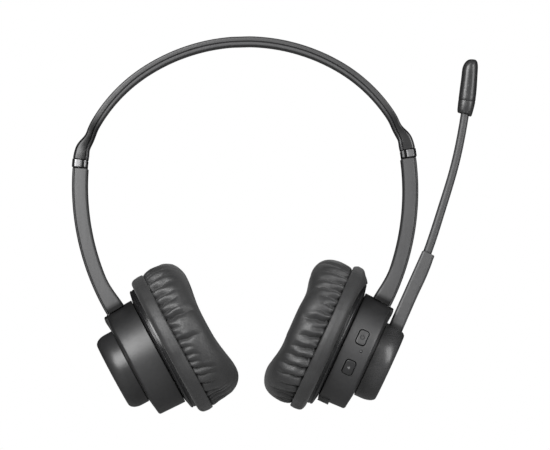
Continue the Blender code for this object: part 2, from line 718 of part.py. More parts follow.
def make_hub_clip():
    """Open ring in the groove of the hub's spigot, with its gap at the top."""
    gap, segs = 70, 28
    outer_end, inner_end, bore_r, rim_r = -18.1, -17.35, 4.35, 7.0
    profile = [(outer_end, bore_r), (outer_end, rim_r), (inner_end, rim_r), (inner_end, bore_r)]
    rings = [[(depth, radius * sin(angle), radius * cos(angle)) for depth, radius in profile]
             for angle in spread(radians(gap / 2), radians(360 - gap / 2), segs)]
    place("hub_clip", skin(rings), STEEL, "boom", FRAMES["right"])


def stem_ring(rise):
    if rise < STEM_ROOT_END:
        outer, inner, half_y = -27.8, -22.1, 4.1
    else:
        part = (rise - STEM_FOOT) / (STEM_TOP - STEM_FOOT)
        belly = 0.35 + 0.3 * bump(part, 0.72, 0.18) - 0.2 * ease(part, 0.86, 1.0)
        outer, inner = -28.4 + 0.8 * part - belly, -21.95 + 0.35 * part
        half_y = 4.9 - 1.5 * part
    outline = rounded(rect((outer, inner), sym(half_y)), [1.6] * 4, 3)
    return [(depth, y, rise) for depth, y in outline]


def make_stem():
    rises = (11.5, 18.7, 19.0, 28.0, 36.0, 41.0, 45.0, 49.0, 53.0, STEM_TOP)
    place("boom_stem", skin([stem_ring(rise) for rise in rises]), GREY, "boom", FRAMES["right"])


# ---------------------------------------------------------------- stalk and microphone
def stalk_depth(rise):
    """Depth of the stalk's centre line: an arc with a bow towards the head."""
    angle = asin(sin(STALK_SLOPE) + (rise - STEM_TOP) / STALK_R)
    return (STALK_DEPTH + STALK_R * (cos(STALK_SLOPE) - cos(angle))
            + STALK_BOW * bump(rise, BOW_RISE, BOW_LEN) - 0.15 * ease(rise, 112.0, 140.0))


def stalk_rings(rows, segs):
    """Ellipses square to the stalk from rows of (rise, half thickness, half size along Y)."""
    rings = []
    for rise, half, half_y in rows:
        depth = stalk_depth(rise)
        lean = atan(stalk_depth(rise + 0.5) - stalk_depth(rise - 0.5))
        rings.append([(depth + half * cos(angle) * cos(lean), half_y * sin(angle),
                       rise - half * cos(angle) * sin(lean)) for angle in circle(segs)])
    return rings


def make_stalk():
    """Rounded at its lower end."""
    rows = []
    for k in range(4):
        angle = radians(90 * k / 4)
        rows.append((FLEX_RISE - STALK_HALF * cos(angle), max(0.4, STALK_HALF * sin(angle)),
                     max(0.5, STALK_HALF_Y * sin(angle))))
    rows += [(rise, STALK_HALF, STALK_HALF_Y) for rise in spread(FLEX_RISE, MIC_START + 1.2, 12)]
    place("boom_stalk", skin(stalk_rings(rows, 14)), GREY, "mic", FRAMES["right"])


def make_boot():
    """Short sleeve over the stalk's upper end."""
    rows = ((MIC_START - 0.3, 3.0, 3.2), (MIC_START, 3.45, 3.6),
            (MIC_START + 1.2, MIC_HALF, MIC_HALF_Y), (MIC_SEAM, MIC_HALF, MIC_HALF_Y))
    bore = [(rise, 2.15, 2.4) for rise in spread(MIC_START - 2.0, MIC_START + 1.6, 2)]
    boot = cut(skin(stalk_rings(rows, 20)), skin(stalk_rings(bore, 14)))
    place("mic_boot", boot, SATIN, "mic", FRAMES["right"])


def make_mic():
    """Hollow shell with its sound port on the side towards the head, and the element inside."""
    seam, cavity_end = MIC_SEAM + 0.2, MIC_END - 2.2
    inside = [(rise, 2.9, 3.1) for rise in (MIC_END - 2.8, MIC_END - 10.0, seam)]
    outside = [(seam, MIC_HALF, MIC_HALF_Y), (MIC_END - 9.0, MIC_HALF, MIC_HALF_Y),
               (MIC_END - 4.2, 3.7, 3.95), (MIC_END - 2.2, 3.2, 3.4),
               (MIC_END - 0.8, 2.2, 2.4), (MIC_END - 0.2, 1.1, 1.2)]
    shell = skin([[(stalk_depth(cavity_end), 0, cavity_end)]] + stalk_rings(inside + outside, 20)
                 + [[(stalk_depth(MIC_END), 0, MIC_END)]])
    depth = stalk_depth(MIC_END - 8.0)
    port = along_depth(rect(sym(0.7), (MIC_END - 9.6, MIC_END - 6.6)), (depth + 1.5, depth + 6.0))
    place("mic_shell", cut(shell, port), GLOSS, "mic", FRAMES["right"])
    element = [(rise, 2.7, 2.9) for rise in (MIC_END - 9.4, MIC_END - 6.6)]
    place("mic_element", skin(stalk_rings(element, 18)), NICKEL, "mic", FRAMES["right"])


# ---------------------------------------------------------------- electronics and keys
def make_board():
    """Disc with a flat top edge, cut clear of the screw bosses and keys."""
    flat = acos(BOARD_FLAT_RISE / BOARD_R)
    outline = [(BOARD_R * sin(angle), BOARD_R * cos(angle))
               for angle in spread(flat, 2 * pi - flat, 40)]
    board = cut(along_depth(outline, BOARD_DEPTH), *screw_rods((-14, -8), 2.9, 16),
                *[button_solid(button, 0.4, 22.8, 26.0) for button in BUTTONS.values()])
    place("circuit_board", board, BOARD, "right_cup", FRAMES["right"])


def make_electronics():
    body, frame = "right_cup", FRAMES["right"]
    outline = rounded(rect((-9.5, 14.5), (-12.0, 11.0)), [1.2] * 4, 3)
    place("battery", along_depth(outline, (-15.9, -11.6)), CELL, body, frame)
    socket = along_depth(rect(sym(4.5), (-27.6, -20.3)), (-10.35, -7.1))
    place("usb_socket", socket, NICKEL, body, frame)
    pipe = rod(on_wall(LED_RISE, LED_DEPTH, 24.2), on_wall(LED_RISE, LED_DEPTH, 26.8), 0.6, 14)
    place("light_pipe", pipe, CLEAR, body, frame)


def make_key(key, button):
    """The key and the switch behind it."""
    frame = FRAMES["right"]
    switch = skin([[tuple(on_wall(button["rise"], button["depth"] + offset, radius, along))
                    for offset, along in rect((-1.95, 1.05), sym(1.8))]
                   for radius in (19.6, 23.2)])
    place(key + "_switch", switch, NICKEL, "right_cup", frame)
    cap = button_solid(button, 0.0, 23.75, button["top_r"], crowned=True)
    place(key + "_button", cap, button["mat"], key + "_button", frame)


# ---------------------------------------------------------------- build
make_headband()
for side, sign in SIDES.items():
    make_collar(side, sign)
    make_blade(side, sign)
    make_rivet(side, sign)
    make_arm(side, sign)
    make_foot(side)
    make_housing(side)
    make_pivot_block(side)
    make_baffle(side)
    make_ear_side(side)
make_left_cover()
make_hub()
make_hub_clip()
make_stem()
make_stalk()
make_boot()
make_mic()
make_board()
make_electronics()
for key, button in BUTTONS.items():
    make_key(key, button)
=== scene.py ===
"""Office headset, upright: +Z up, the front towards -Y, the left side at -X.

Shapes are built in millimetres and placed in metres. The headband and arms follow a path of arcs
in the XZ plane, by run (length along it from the crown, positive to the right) and offset
(outwards). Each cup has a frame of depth (towards the head), across (+Y) and height (along
its tilted face); the right frame mirrors the left.
"""
import random
from math import asin, atan, atan2, ceil, copysign, cos, pi, radians, sin, sqrt, tan, tau

import bmesh
import bpy
import numpy as np
from mathutils import Matrix, Vector


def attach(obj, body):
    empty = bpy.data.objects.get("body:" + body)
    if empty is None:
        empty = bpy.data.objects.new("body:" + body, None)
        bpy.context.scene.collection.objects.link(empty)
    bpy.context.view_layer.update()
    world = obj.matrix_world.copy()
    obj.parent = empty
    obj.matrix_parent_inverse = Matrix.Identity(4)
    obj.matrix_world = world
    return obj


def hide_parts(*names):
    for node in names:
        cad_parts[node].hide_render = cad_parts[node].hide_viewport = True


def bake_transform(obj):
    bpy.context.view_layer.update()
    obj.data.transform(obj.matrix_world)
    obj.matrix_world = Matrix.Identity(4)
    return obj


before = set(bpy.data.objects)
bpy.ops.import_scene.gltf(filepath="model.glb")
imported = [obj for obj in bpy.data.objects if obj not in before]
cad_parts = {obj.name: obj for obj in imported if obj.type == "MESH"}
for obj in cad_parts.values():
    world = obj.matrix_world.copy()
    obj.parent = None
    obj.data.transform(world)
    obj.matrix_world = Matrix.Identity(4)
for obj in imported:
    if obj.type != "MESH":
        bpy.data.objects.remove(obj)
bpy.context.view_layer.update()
MM = 0.001
QUARTER = pi / 2
SCENE = bpy.context.scene

# ------------------------------------------------ driving sizes (mm, degrees)
# crown, shoulder, knuckle and arm: radius and degrees
ARCS = ((87.0, 31.5), (72.9, 37.6), (23.4, 13.65), (116.4, 36.0))
BAND_HALF, BAND_W = 2.11, 9.0    # half thickness and half width
ARM_HALF, ARM_W = 3.59, 8.0
CROWN_FLAT, BAND_END, CAP_END, COLLAR_END = 4.0, 85.4, 99.9, 103.9    # runs
SEAM = 0.15
NECK_DIP, NECK_RISE = 0.45, 0.4
FLARE_START, FLARE_END = 86.8, 98.9
CAP_IN, CAP_OUT = 3.25, 3.62     # half thicknesses at the end of the flare
ARM_TOP = COLLAR_END + 0.3
ARM_LOW = ARM_TOP + 72.0
SLOT_OFFSET = 0.65
TILT = radians(26.5)
CUP_X, CUP_Z = 37.93, -139.36
CAP_R = 18.66
SCREW_ACROSS, SCREW_HEIGHT = 12.0, -17.5
STEM_FOOT, STEM_TOP = 17.0, 56.5
STALK_R, STALK_SLOPE, STALK_HALF = 290.0, radians(3.0), 1.95
BOW, BOW_HEIGHT, BOW_LENGTH = 0.65, 78.0, 18.0
MIC_START, MIC_SEAM, MIC_END, MIC_HALF, MIC_ACROSS = 123.4, 129.1, 148.0, 4.0, 4.1
KEY_WALL_R = 26.75
LIGHT_DEPTH, LIGHT_ANGLE = -14.7, asin(0.95 / KEY_WALL_R)
# depth, angle above the cup's axis, half depth, half height, radius of the top
KEYS = {"upper": (-12.65, asin(7.1 / KEY_WALL_R), 2.2, 3.55, 27.15),
        "lower": (-12.75, asin(-8.15 / KEY_WALL_R), 2.35, 3.5, 27.3)}
SIDES = {"left": -1, "right": 1}


def cup_frame(sign):
    return Matrix(((-sign * cos(TILT), 0, sign * sin(TILT), sign * CUP_X),
                   (0, 1, 0, 0),
                   (sin(TILT), 0, cos(TILT), CUP_Z),
                   (0, 0, 0, 1)))


FRAME = {side: cup_frame(sign) for side, sign in SIDES.items()}


def cup_point(side, depth, height):
    """World place in metres of a point on the middle plane of a cup."""
    return tuple(FRAME[side] @ Vector((depth, 0, height)) * MM)


# ------------------------------------------------ curves
def spread(start, end, count):
    return [start + (end - start) * k / count for k in range(count + 1)]


def step(value, start, end):
    """Smooth rise from 0 at start to 1 at end."""
    x = np.clip((value - start) / (end - start), 0.0, 1.0)
    return x * x * (3 - 2 * x)


def bell(value, width, centre=0.0):
    return np.exp(-((value - centre) / width) ** 2)


def wrap(angle):
    return (angle + pi) % tau - pi


def rim_inset(share):
    """Quarter-circle edge: 1 at share 0, down to 0 from share 1."""
    return 1 - sqrt(max(0.0, 1 - (1 - min(1.0, share)) ** 2))


def rounded(points, radii, count=5):
    """A closed outline with its corners rounded; a radius of 0 keeps a corner sharp."""
    outline = []
    for i, (point, radius) in enumerate(zip(points, radii)):
        corner = Vector(point)
        if radius <= 0:
            outline.append(tuple(corner))
            continue
        before = (Vector(points[i - 1]) - corner).normalized()
        after = (Vector(points[(i + 1) % len(points)]) - corner).normalized()
        half = before.angle(after) / 2
        reach = radius / tan(half)
        centre = corner + (before + after).normalized() * (radius / sin(half))
        first = corner + before * reach - centre
        last = corner + after * reach - centre
        start = atan2(first[1], first[0])
        turn = wrap(atan2(last[1], last[0]) - start)
        for k in range(count + 1):
            angle = start + turn * k / count
            outline.append((centre[0] + radius * cos(angle), centre[1] + radius * sin(angle)))
    return outline


def dense(points, longest):
    """Splits edges over the longest length, except where both second coordinates are <= 0."""
    outline = []
    for i, point in enumerate(points):
        start, end = Vector(point), Vector(points[(i + 1) % len(points)])
        count = max(1, int(ceil((end - start).length / longest)))
        if start[1] < 1e-6 and end[1] < 1e-6:
            count = 1
        outline += [tuple(start + (end - start) * j / count) for j in range(count)]
    return outline


def catmull(points, count):
    """An open Catmull-Rom curve through the points."""
    curve = []
    last = len(points) - 1
    for i in range(last):
        a, b, c, d = (np.array(points[min(max(i + j, 0), last)], float) for j in (-1, 0, 1, 2))
        for k in range(count):
            t = k / count
            curve.append(0.5 * (2 * b + (c - a) * t + (2 * a - 5 * b + 4 * c - d) * t * t
                                + (3 * b - a - 3 * c + d) * t ** 3))
    curve.append(np.array(points[-1], float))
    return np.array(curve)


# ------------------------------------------------ solids
def mesh_of(points, faces):
    mesh = bmesh.new()
    verts = [mesh.verts.new(point) for point in points]
    for face in faces:
        mesh.faces.new([verts[i] for i in face])
    bmesh.ops.recalc_face_normals(mesh, faces=mesh.faces)
    return mesh


def skin(rings, closed=False):
    """Joins rings of points; a ring of one point is a tip, and open ends are capped."""
    points, starts = [], []
    for ring in rings:
        starts.append((len(points), len(ring)))
        points += ring
    faces = []
    pairs = list(zip(starts, starts[1:]))
    if closed:
        pairs.append((starts[-1], starts[0]))
    for (first, first_n), (second, second_n) in pairs:
        count = max(first_n, second_n)
        for i in range(count):
            j = (i + 1) % count
            if first_n == 1:
                faces.append((first, second + i, second + j))
            elif second_n == 1:
                faces.append((first + i, second, first + j))
            else:
                faces.append((first + i, second + i, second + j, first + j))
    if not closed:
        for start, count in (starts[0], starts[-1]):
            if count > 1:
                faces.append(tuple(range(start, start + count)))
    return mesh_of(points, faces)


def lathe(profile, segments=176):
    """Turns a closed profile of (depth, radius) about the cup's axis."""
    axis = [i for i in range(len(profile)) if profile[i - 1][1] < 1e-9 and profile[i][1] < 1e-9]
    if axis:
        profile = profile[axis[0]:] + profile[:axis[0]]
    rings = []
    for depth, radius in profile:
        if radius < 1e-9:
            rings.append([(depth, 0.0, 0.0)])
            continue
        angles = [tau * k / segments for k in range(segments)]
        rings.append([(depth, radius * sin(angle), radius * cos(angle)) for angle in angles])
    return skin(rings, closed=not axis)


def plate(outline, depths):
    """A flat plate from an outline of (across, height)."""
    return skin([[(depth, y, z) for y, z in outline] for depth in depths])


def box(depths, acrosses, heights):
    (y0, y1), (z0, z1) = acrosses, heights
    return plate([(y0, z0), (y1, z0), (y1, z1), (y0, z1)], depths)


def rod(start, end, radius, sides):
    start, end = Vector(start), Vector(end)
    z = (end - start).normalized()
    x = z.orthogonal().normalized()
    y = z.cross(x)
    angles = [tau * k / sides for k in range(sides)]
    return skin([[tuple(c + x * radius * cos(angle) + y * radius * sin(angle)) for angle in angles]
                 for c in (start, end)])


def tidy(cut):
    """Welds close points, by the largest distance that leaves the mesh closed."""
    for weld in (2e-4, 5e-5, 1e-5, 0.0):
        mesh = bmesh.new()
        mesh.from_mesh(cut)
        if weld:
            bmesh.ops.remove_doubles(mesh, verts=mesh.verts, dist=weld)
            bmesh.ops.dissolve_degenerate(mesh, edges=mesh.edges, dist=weld)
        if all(edge.is_manifold for edge in mesh.edges):
            break
    return mesh


def boolean(operation, mesh, tools):
    for tool in tools:
        pair = []
        for solid in (mesh, tool):
            bmesh.ops.recalc_face_normals(solid, faces=solid.faces)
            data = bpy.data.meshes.new("work")
            solid.to_mesh(data)
            solid.free()
            ob = bpy.data.objects.new("work", data)
            SCENE.collection.objects.link(ob)
            pair.append(ob)
        modifier = pair[0].modifiers.new("cut", "BOOLEAN")
        modifier.operation = operation
        modifier.solver = "EXACT"
        modifier.object = pair[1]
        bpy.context.view_layer.update()
        evaluated = pair[0].evaluated_get(bpy.context.evaluated_depsgraph_get())
        mesh = tidy(evaluated.to_mesh())
        for ob in pair:
            data = ob.data
            bpy.data.objects.remove(ob, do_unlink=True)
            bpy.data.meshes.remove(data)
    return mesh


def cut(mesh, *tools):
    return boolean("DIFFERENCE", mesh, tools)


def join(mesh, *tools):
    return boolean("UNION", mesh, tools)


def place(name, mesh, finish, body, node, slot, matrix=None, sharp=35, **point_values):
    """Puts a mesh into the world, with point attributes worked out from its places in mm.

    Without a body the piece doesn't ride; without a sharp angle no edges are marked."""
    local = np.array([v.co for v in mesh.verts], float).reshape(-1, 3)
    if matrix is not None:
        bmesh.ops.transform(mesh, matrix=matrix, verts=mesh.verts)
    bmesh.ops.recalc_face_normals(mesh, faces=mesh.faces)
    data = bpy.data.meshes.new(name)
    mesh.to_mesh(data)
    mesh.free()
    data.transform(Matrix.Scale(MM, 4))
    for key, value_at in point_values.items():
        attribute = data.attributes.new(key, "FLOAT", "POINT")
        attribute.data.foreach_set("value", np.asarray(value_at(local), np.float32))
    data.materials.append(FINISH[finish])
    for polygon in data.polygons:
        polygon.use_smooth = True
    if sharp:
        data.set_sharp_from_angle(angle=radians(sharp))
    ob = bpy.data.objects.new(name, data)
    SCENE.collection.objects.link(ob)
    if body:
        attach(ob, body)
    if node:
        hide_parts(node)
    return ob


# ------------------------------------------------ node materials
def tint(colour, factor):
    return tuple(min(1.0, c * factor) for c in colour)


class Finish:
    """A node material: a value or a socket can feed any input. Lengths are in metres."""

    def __init__(self, name):
        self.material = bpy.data.materials.new(name)
        self.material.use_nodes = True
        self.tree = self.material.node_tree
        self.place = self.add("ShaderNodeTexCoord").outputs["Object"]

    def feed(self, node, inputs):
        for key, value in inputs.items():
            if isinstance(value, bpy.types.NodeSocket):
                self.tree.links.new(value, node.inputs[key])
            else:
                node.inputs[key].default_value = value

    def add(self, kind, inputs=None, **settings):
        node = self.tree.nodes.new(kind)
        for key, value in settings.items():
            setattr(node, key, value)
        self.feed(node, inputs or {})
        return node

    def surface(self, inputs):
        self.feed(self.tree.nodes["Principled BSDF"], inputs)
        return self.material

    def math(self, operation, a, b=0.0, clamp=False):
        node = self.add("ShaderNodeMath", {0: a, 1: b}, operation=operation, use_clamp=clamp)
        return node.outputs[0]

    def plus(self, a, b):
        return self.math("ADD", a, b)

    def times(self, a, b):
        return self.math("MULTIPLY", a, b)

    def vector(self, operation, a, b):
        return self.add("ShaderNodeVectorMath", {0: a, 1: b}, operation=operation)

    def coords(self, scale=(1, 1, 1), turn=(0, 0, 0)):
        return self.add("ShaderNodeMapping", {"Vector": self.place, "Scale": scale,
                                              "Rotation": turn}).outputs[0]

    def noise(self, scale, detail=3.0, at=None, rough=0.5):
        return self.add("ShaderNodeTexNoise", {"Vector": at or self.place, "Scale": scale,
                                               "Detail": detail, "Roughness": rough}).outputs["Fac"]

    def voronoi(self, scale, feature="DISTANCE_TO_EDGE", at=None, **settings):
        return self.add("ShaderNodeTexVoronoi", {"Vector": at or self.place, "Scale": scale},
                        feature=feature, **settings).outputs["Distance"]

    def attr(self, name):
        return self.add("ShaderNodeAttribute", attribute_name=name).outputs["Fac"]

    def ramp(self, value, span=(0.3, 0.7), to=(0.0, 1.0)):
        """Maps the span onto the to range, clamped; the usual span is that of a noise."""
        return self.add("ShaderNodeMapRange", {
            "Value": value, "From Min": span[0], "From Max": span[1],
            "To Min": to[0], "To Max": to[1]}, clamp=True).outputs[0]

    def mix(self, share, a, b):
        a, b = (c if isinstance(c, bpy.types.NodeSocket) else (*c, 1.0) for c in (a, b))
        return self.add("ShaderNodeMix", {0: share, 6: a, 7: b},
                        data_type="RGBA", blend_type="MIX").outputs[2]

    def mottle(self, noise, colour, dark, light):
        """The colour varied between two tint factors."""
        return self.mix(self.ramp(noise), tint(colour, dark), tint(colour, light))

    def scale_colour(self, colour, factor):
        node = self.add("ShaderNodeVectorMath", {0: colour, 3: factor}, operation="SCALE")
        return node.outputs[0]

    def light_kept(self, loss):
        """1 where the point attribute "dark" is 0, and 1 - loss where it is 1."""
        return self.math("SUBTRACT", 1.0, self.times(self.attr("dark"), loss), clamp=True)

    def bump(self, height, distance, strength=1.0, over=None):
        inputs = {"Height": height, "Distance": distance, "Strength": strength}
        if over is not None:
            inputs["Normal"] = over
        return self.add("ShaderNodeBump", inputs).outputs[0]


def plastic(name, colour, rough, grain=0.00003, grain_scale=2400.0, speckle=0.10, drawn=False):
    """Moulded plastic: fine grain, soft blotches of gloss, faint rub marks, paler worn edges.

    drawn stretches the blotches into faint streaks along the height."""
    mat = Finish(name)
    fine = mat.noise(scale=grain_scale, detail=2.0)
    mid = mat.noise(scale=520.0, at=mat.coords(scale=(1.0, 1.0, 0.07)) if drawn else None)
    grained = mat.math("SUBTRACT", 1.0, mat.attr("gloss"), clamp=True)
    wide = mat.noise(scale=55.0)
    rub = mat.noise(scale=240.0, detail=2.0,
                    at=mat.coords(scale=(1.0, 1.0, 9.0), turn=(0.4, 0.9, 0.3)))
    base = mat.mottle(mid, colour, dark=1 - speckle, light=1 + speckle)
    blotch = mat.ramp(wide, span=(0.35, 0.65), to=(0.0, 0.35))
    base = mat.mix(blotch, base, tint(colour, factor=1.12))
    edge = mat.add("ShaderNodeNewGeometry").outputs["Pointiness"]
    worn = mat.times(mat.ramp(edge, span=(0.52, 0.62)),
                     mat.ramp(mid, span=(0.2, 0.8), to=(0.15, 0.5)))
    base = mat.mix(mat.times(worn, grained), base, tint(colour, factor=2.2))
    # the point attribute "dark" darkens colour and reflection: painted shade on the band, arms,
    # housings, stem and stalk, and the own dark of the key symbols
    kept = mat.light_kept(loss=0.85)
    roughness = mat.plus(mat.ramp(wide, to=(rough - 0.035, rough + 0.035)),
                         mat.ramp(rub, span=(0.55, 0.75), to=(0.0, 0.05)))
    roughness = mat.plus(roughness, mat.ramp(fine, to=(-0.02, 0.02)))
    polish = mat.times(mat.attr("gloss"), rough * 0.55)
    normal = mat.bump(fine, distance=grain, strength=grained)
    normal = mat.bump(mid, distance=grain * 1.6, strength=mat.times(grained, 0.5), over=normal)
    return mat.surface({
        "Base Color": mat.scale_colour(base, kept),
        "Roughness": mat.math("SUBTRACT", roughness, polish, clamp=True),
        "IOR": 1.5,
        "Specular IOR Level": mat.times(kept, 0.5),
        "Coat Weight": 0.0,
        "Coat Roughness": 0.12,
        "Normal": normal})


def smoked_chrome(name, colour, rough=0.34):
    """Smoked plated trim: faint flow lines, fine wiping scratches, dull dark rims."""
    mat = Finish(name)
    wide = mat.noise(scale=160.0, detail=2.0)
    hair = mat.noise(scale=1400.0, detail=1.0,
                     at=mat.coords(scale=(1.0, 1.0, 12.0), turn=(0.9, 0.5, 0.2)))
    scratch = mat.ramp(hair, span=(0.66, 0.74))
    kept = mat.light_kept(loss=0.94)
    base = mat.mottle(wide, colour, dark=0.9, light=1.12)
    return mat.surface({
        "Base Color": mat.scale_colour(base, kept),
        "Metallic": mat.times(kept, 0.9),
        "Specular IOR Level": mat.times(kept, 0.5),
        "Roughness": mat.plus(mat.ramp(wide, to=(rough - 0.03, rough + 0.03)),
                              mat.times(scratch, 0.1)),
        "Normal": mat.bump(scratch, distance=0.000004, strength=0.5)})


def gloss_plastic(name, colour, rough):
    """Polished plastic: very faint waviness, hairline scratches both ways, dust specks."""
    mat = Finish(name)
    wide = mat.noise(scale=70.0, detail=2.0)
    hairs = [mat.noise(scale=900.0, detail=1.0, at=mat.coords(scale=scale, turn=turn))
             for scale, turn in (((1.0, 1.0, 14.0), (0.9, 0.5, 0.2)),
                                 ((14.0, 1.0, 1.0), (0.2, 0.3, 1.1)))]
    scratch = mat.math("MAXIMUM", *(mat.ramp(hair, span=(0.68, 0.74)) for hair in hairs))
    dust = mat.ramp(mat.noise(scale=1500.0, detail=0.0), span=(0.74, 0.80))
    base = mat.mottle(wide, colour, dark=0.9, light=1.15)
    marks = mat.times(mat.math("MAXIMUM", mat.times(scratch, 0.5), dust), 0.25)
    base = mat.mix(marks, base, (0.25, 0.25, 0.25))
    normal = mat.bump(scratch, distance=0.000004, strength=0.5)
    return mat.surface({
        "Base Color": mat.scale_colour(base, mat.light_kept(loss=0.85)),
        "Roughness": mat.plus(mat.ramp(wide, to=(rough - 0.03, rough + 0.03)),
                              mat.times(scratch, 0.18)),
        "Coat Weight": 0.0,
        "Coat Roughness": 0.06,
        "Normal": mat.bump(wide, distance=0.00008, strength=0.3, over=normal)})


def leatherette(name, colour, rough):
    """Coated cloth: pebbled grain, soft stretch lines, duller in the creases and darkened there by
    painted shade.
    """
    mat = Finish(name)
    wobble = mat.add("ShaderNodeTexNoise", {"Vector": mat.place, "Scale": 300.0, "Detail": 2.0})
    shift = mat.scale_colour(wobble.outputs["Color"], factor=0.0007)
    warped = mat.vector("ADD", mat.place, shift).outputs[0]
    cells = mat.ramp(mat.voronoi(scale=1250.0, at=warped), span=(0.0, 0.16))
    pores = mat.ramp(mat.voronoi(scale=2400.0, feature="F1", at=warped), span=(0.0, 0.5))
    soft = mat.noise(scale=130.0, detail=4.0, rough=0.6)
    stretch = mat.noise(scale=420.0,
                        at=mat.coords(scale=(0.35, 1.0, 1.0), turn=(0.2, 0.4, 0.6)))
    crease = mat.attr("crease")
    base = mat.mottle(soft, colour, dark=0.85, light=1.18)
    # painted shade in the grooves of the grain
    grain_groove_shade = mat.ramp(cells, span=(0.0, 1.0), to=(0.45, 0.0))
    base = mat.mix(grain_groove_shade, base, tint(colour, factor=0.45))
    # painted shade from the point attribute: darker along creases and seams, and on the shaded face
    # and top
    creased = mat.math("MULTIPLY", crease, 0.8, clamp=True)
    roughness = mat.plus(mat.ramp(soft, to=(rough - 0.05, rough + 0.06)),
                         mat.times(crease, 0.25))
    normal = mat.bump(cells, distance=0.00005, strength=0.55)
    normal = mat.bump(pores, distance=0.00003, strength=0.4, over=normal)
    normal = mat.bump(stretch, distance=0.00022, strength=0.45, over=normal)
    return mat.surface({
        "Base Color": mat.mix(creased, base, tint(colour, factor=0.16)),
        "Roughness": mat.plus(roughness, mat.ramp(cells, span=(0.0, 1.0), to=(0.08, 0.0))),
        "Sheen Weight": 0.12,
        "Sheen Roughness": 0.5,
        "Specular IOR Level": 0.5,
        "Normal": mat.bump(soft, distance=0.0006, strength=0.4, over=normal)})


def weave(name, colour, turn, pitch=0.55):
    """Open-weave screen: over-and-under threads at a pitch in mm, with dark gaps and lint."""
    mat = Finish(name)
    threads = mat.coords(scale=(1000 / pitch,) * 3, turn=(0.0, turn, 0.0))
    split = mat.add("ShaderNodeSeparateXYZ", {"Vector": threads})
    y, z = split.outputs[1], split.outputs[2]
    wave_y, wave_z = (mat.math("ABSOLUTE", mat.math("SINE", mat.times(v, pi))) for v in (y, z))
    cell = mat.plus(mat.math("FLOOR", y), mat.math("FLOOR", z))
    over = mat.math("SINE", mat.times(cell, 1.5 * pi))
    height = mat.plus(mat.times(mat.math("MAXIMUM", wave_y, wave_z), 0.8), mat.times(over, 0.1))
    lint = mat.noise(scale=60.0, detail=4.0)
    base = mat.mix(mat.ramp(height, span=(0.45, 0.85)), tint(colour, factor=0.15),
                   tint(colour, factor=1.4))
    return mat.surface({
        "Base Color": mat.mix(mat.ramp(lint, span=(0.4, 0.7), to=(0.0, 0.35)), base,
                              tint(colour, factor=1.9)),
        "Roughness": 0.92,
        "Sheen Weight": 0.2,
        "Normal": mat.bump(height, distance=0.0002, strength=0.8)})


def metal(name, colour, rough, stretch=(1.0, 1.0, 18.0)):
    """Rolled or plated metal: drawn grain, tarnish blotches, small dark spots."""
    mat = Finish(name)
    grain = mat.noise(scale=800.0, at=mat.coords(scale=stretch))
    blot = mat.noise(scale=160.0, detail=4.0)
    spots = mat.ramp(mat.noise(scale=700.0, detail=1.0), span=(0.66, 0.74))
    base = mat.mix(mat.ramp(blot, span=(0.35, 0.7), to=(0.0, 0.7)), colour,
                   tint(colour, factor=0.72))
    return mat.surface({
        "Base Color": mat.mix(mat.times(spots, 0.4), base, tint(colour, factor=0.4)),
        "Metallic": 1.0,
        "Roughness": mat.plus(mat.ramp(grain, to=(rough - 0.08, rough + 0.1)),
                              mat.times(spots, 0.15)),
        "Normal": mat.bump(grain, distance=0.00001)})


def rubber(name, colour):
    mat = Finish(name)
    fine = mat.noise(scale=2600.0)
    soft = mat.noise(scale=200.0, detail=4.0)
    return mat.surface({
        "Base Color": mat.mottle(soft, colour, dark=0.8, light=1.3),
        "Roughness": mat.ramp(soft, to=(0.62, 0.78)),
        "Normal": mat.bump(fine, distance=0.00003)})


def circuit(name):
    """Green board with paler traces and round gilt pads."""
    mat = Finish(name)
    flat = mat.coords(turn=(0.0, -TILT, 0.0))
    traces = mat.voronoi(scale=420.0, feature="F1", at=flat, distance="CHEBYCHEV")
    line = mat.ramp(mat.math("ABSOLUTE", mat.math("SUBTRACT", traces, 0.35)),
                    span=(0.0, 0.05), to=(1.0, 0.0))
    pads = mat.ramp(mat.voronoi(scale=700.0, feature="F1", at=flat),
                    span=(0.10, 0.14), to=(1.0, 0.0))
    cloth = mat.noise(scale=2200.0, detail=2.0)
    base = mat.mix(mat.ramp(cloth), (0.008, 0.075, 0.03), (0.014, 0.115, 0.048))
    base = mat.mix(mat.times(line, 0.8), base, (0.03, 0.2, 0.09))
    return mat.surface({
        "Base Color": mat.mix(pads, base, (0.55, 0.45, 0.26)),
        "Metallic": mat.times(pads, 0.9),
        "Roughness": mat.ramp(cloth, to=(0.32, 0.45)),
        "Normal": mat.bump(mat.plus(line, pads), distance=0.00004)})


def foil(name):
    mat = Finish(name)
    crumple = mat.voronoi(scale=260.0, feature="SMOOTH_F1")
    fine = mat.noise(scale=900.0)
    return mat.surface({
        "Base Color": mat.mix(mat.ramp(fine), (0.42, 0.44, 0.47), (0.55, 0.57, 0.6)),
        "Metallic": 0.85,
        "Roughness": mat.ramp(fine, to=(0.26, 0.42)),
        "Normal": mat.bump(crumple, distance=0.0003, strength=0.5)})


def film(name, centre):
    """Thin film with round ribs about a centre."""
    mat = Finish(name)
    distance = mat.vector("DISTANCE", mat.place, centre).outputs["Value"]
    ribs = mat.math("SINE", mat.times(distance, 5200.0))
    soft = mat.noise(scale=300.0)
    return mat.surface({
        "Base Color": mat.mix(mat.ramp(soft), (0.24, 0.2, 0.14), (0.34, 0.3, 0.22)),
        "Roughness": mat.ramp(soft, to=(0.22, 0.34)),
        "Normal": mat.bump(ribs, distance=0.00006)})


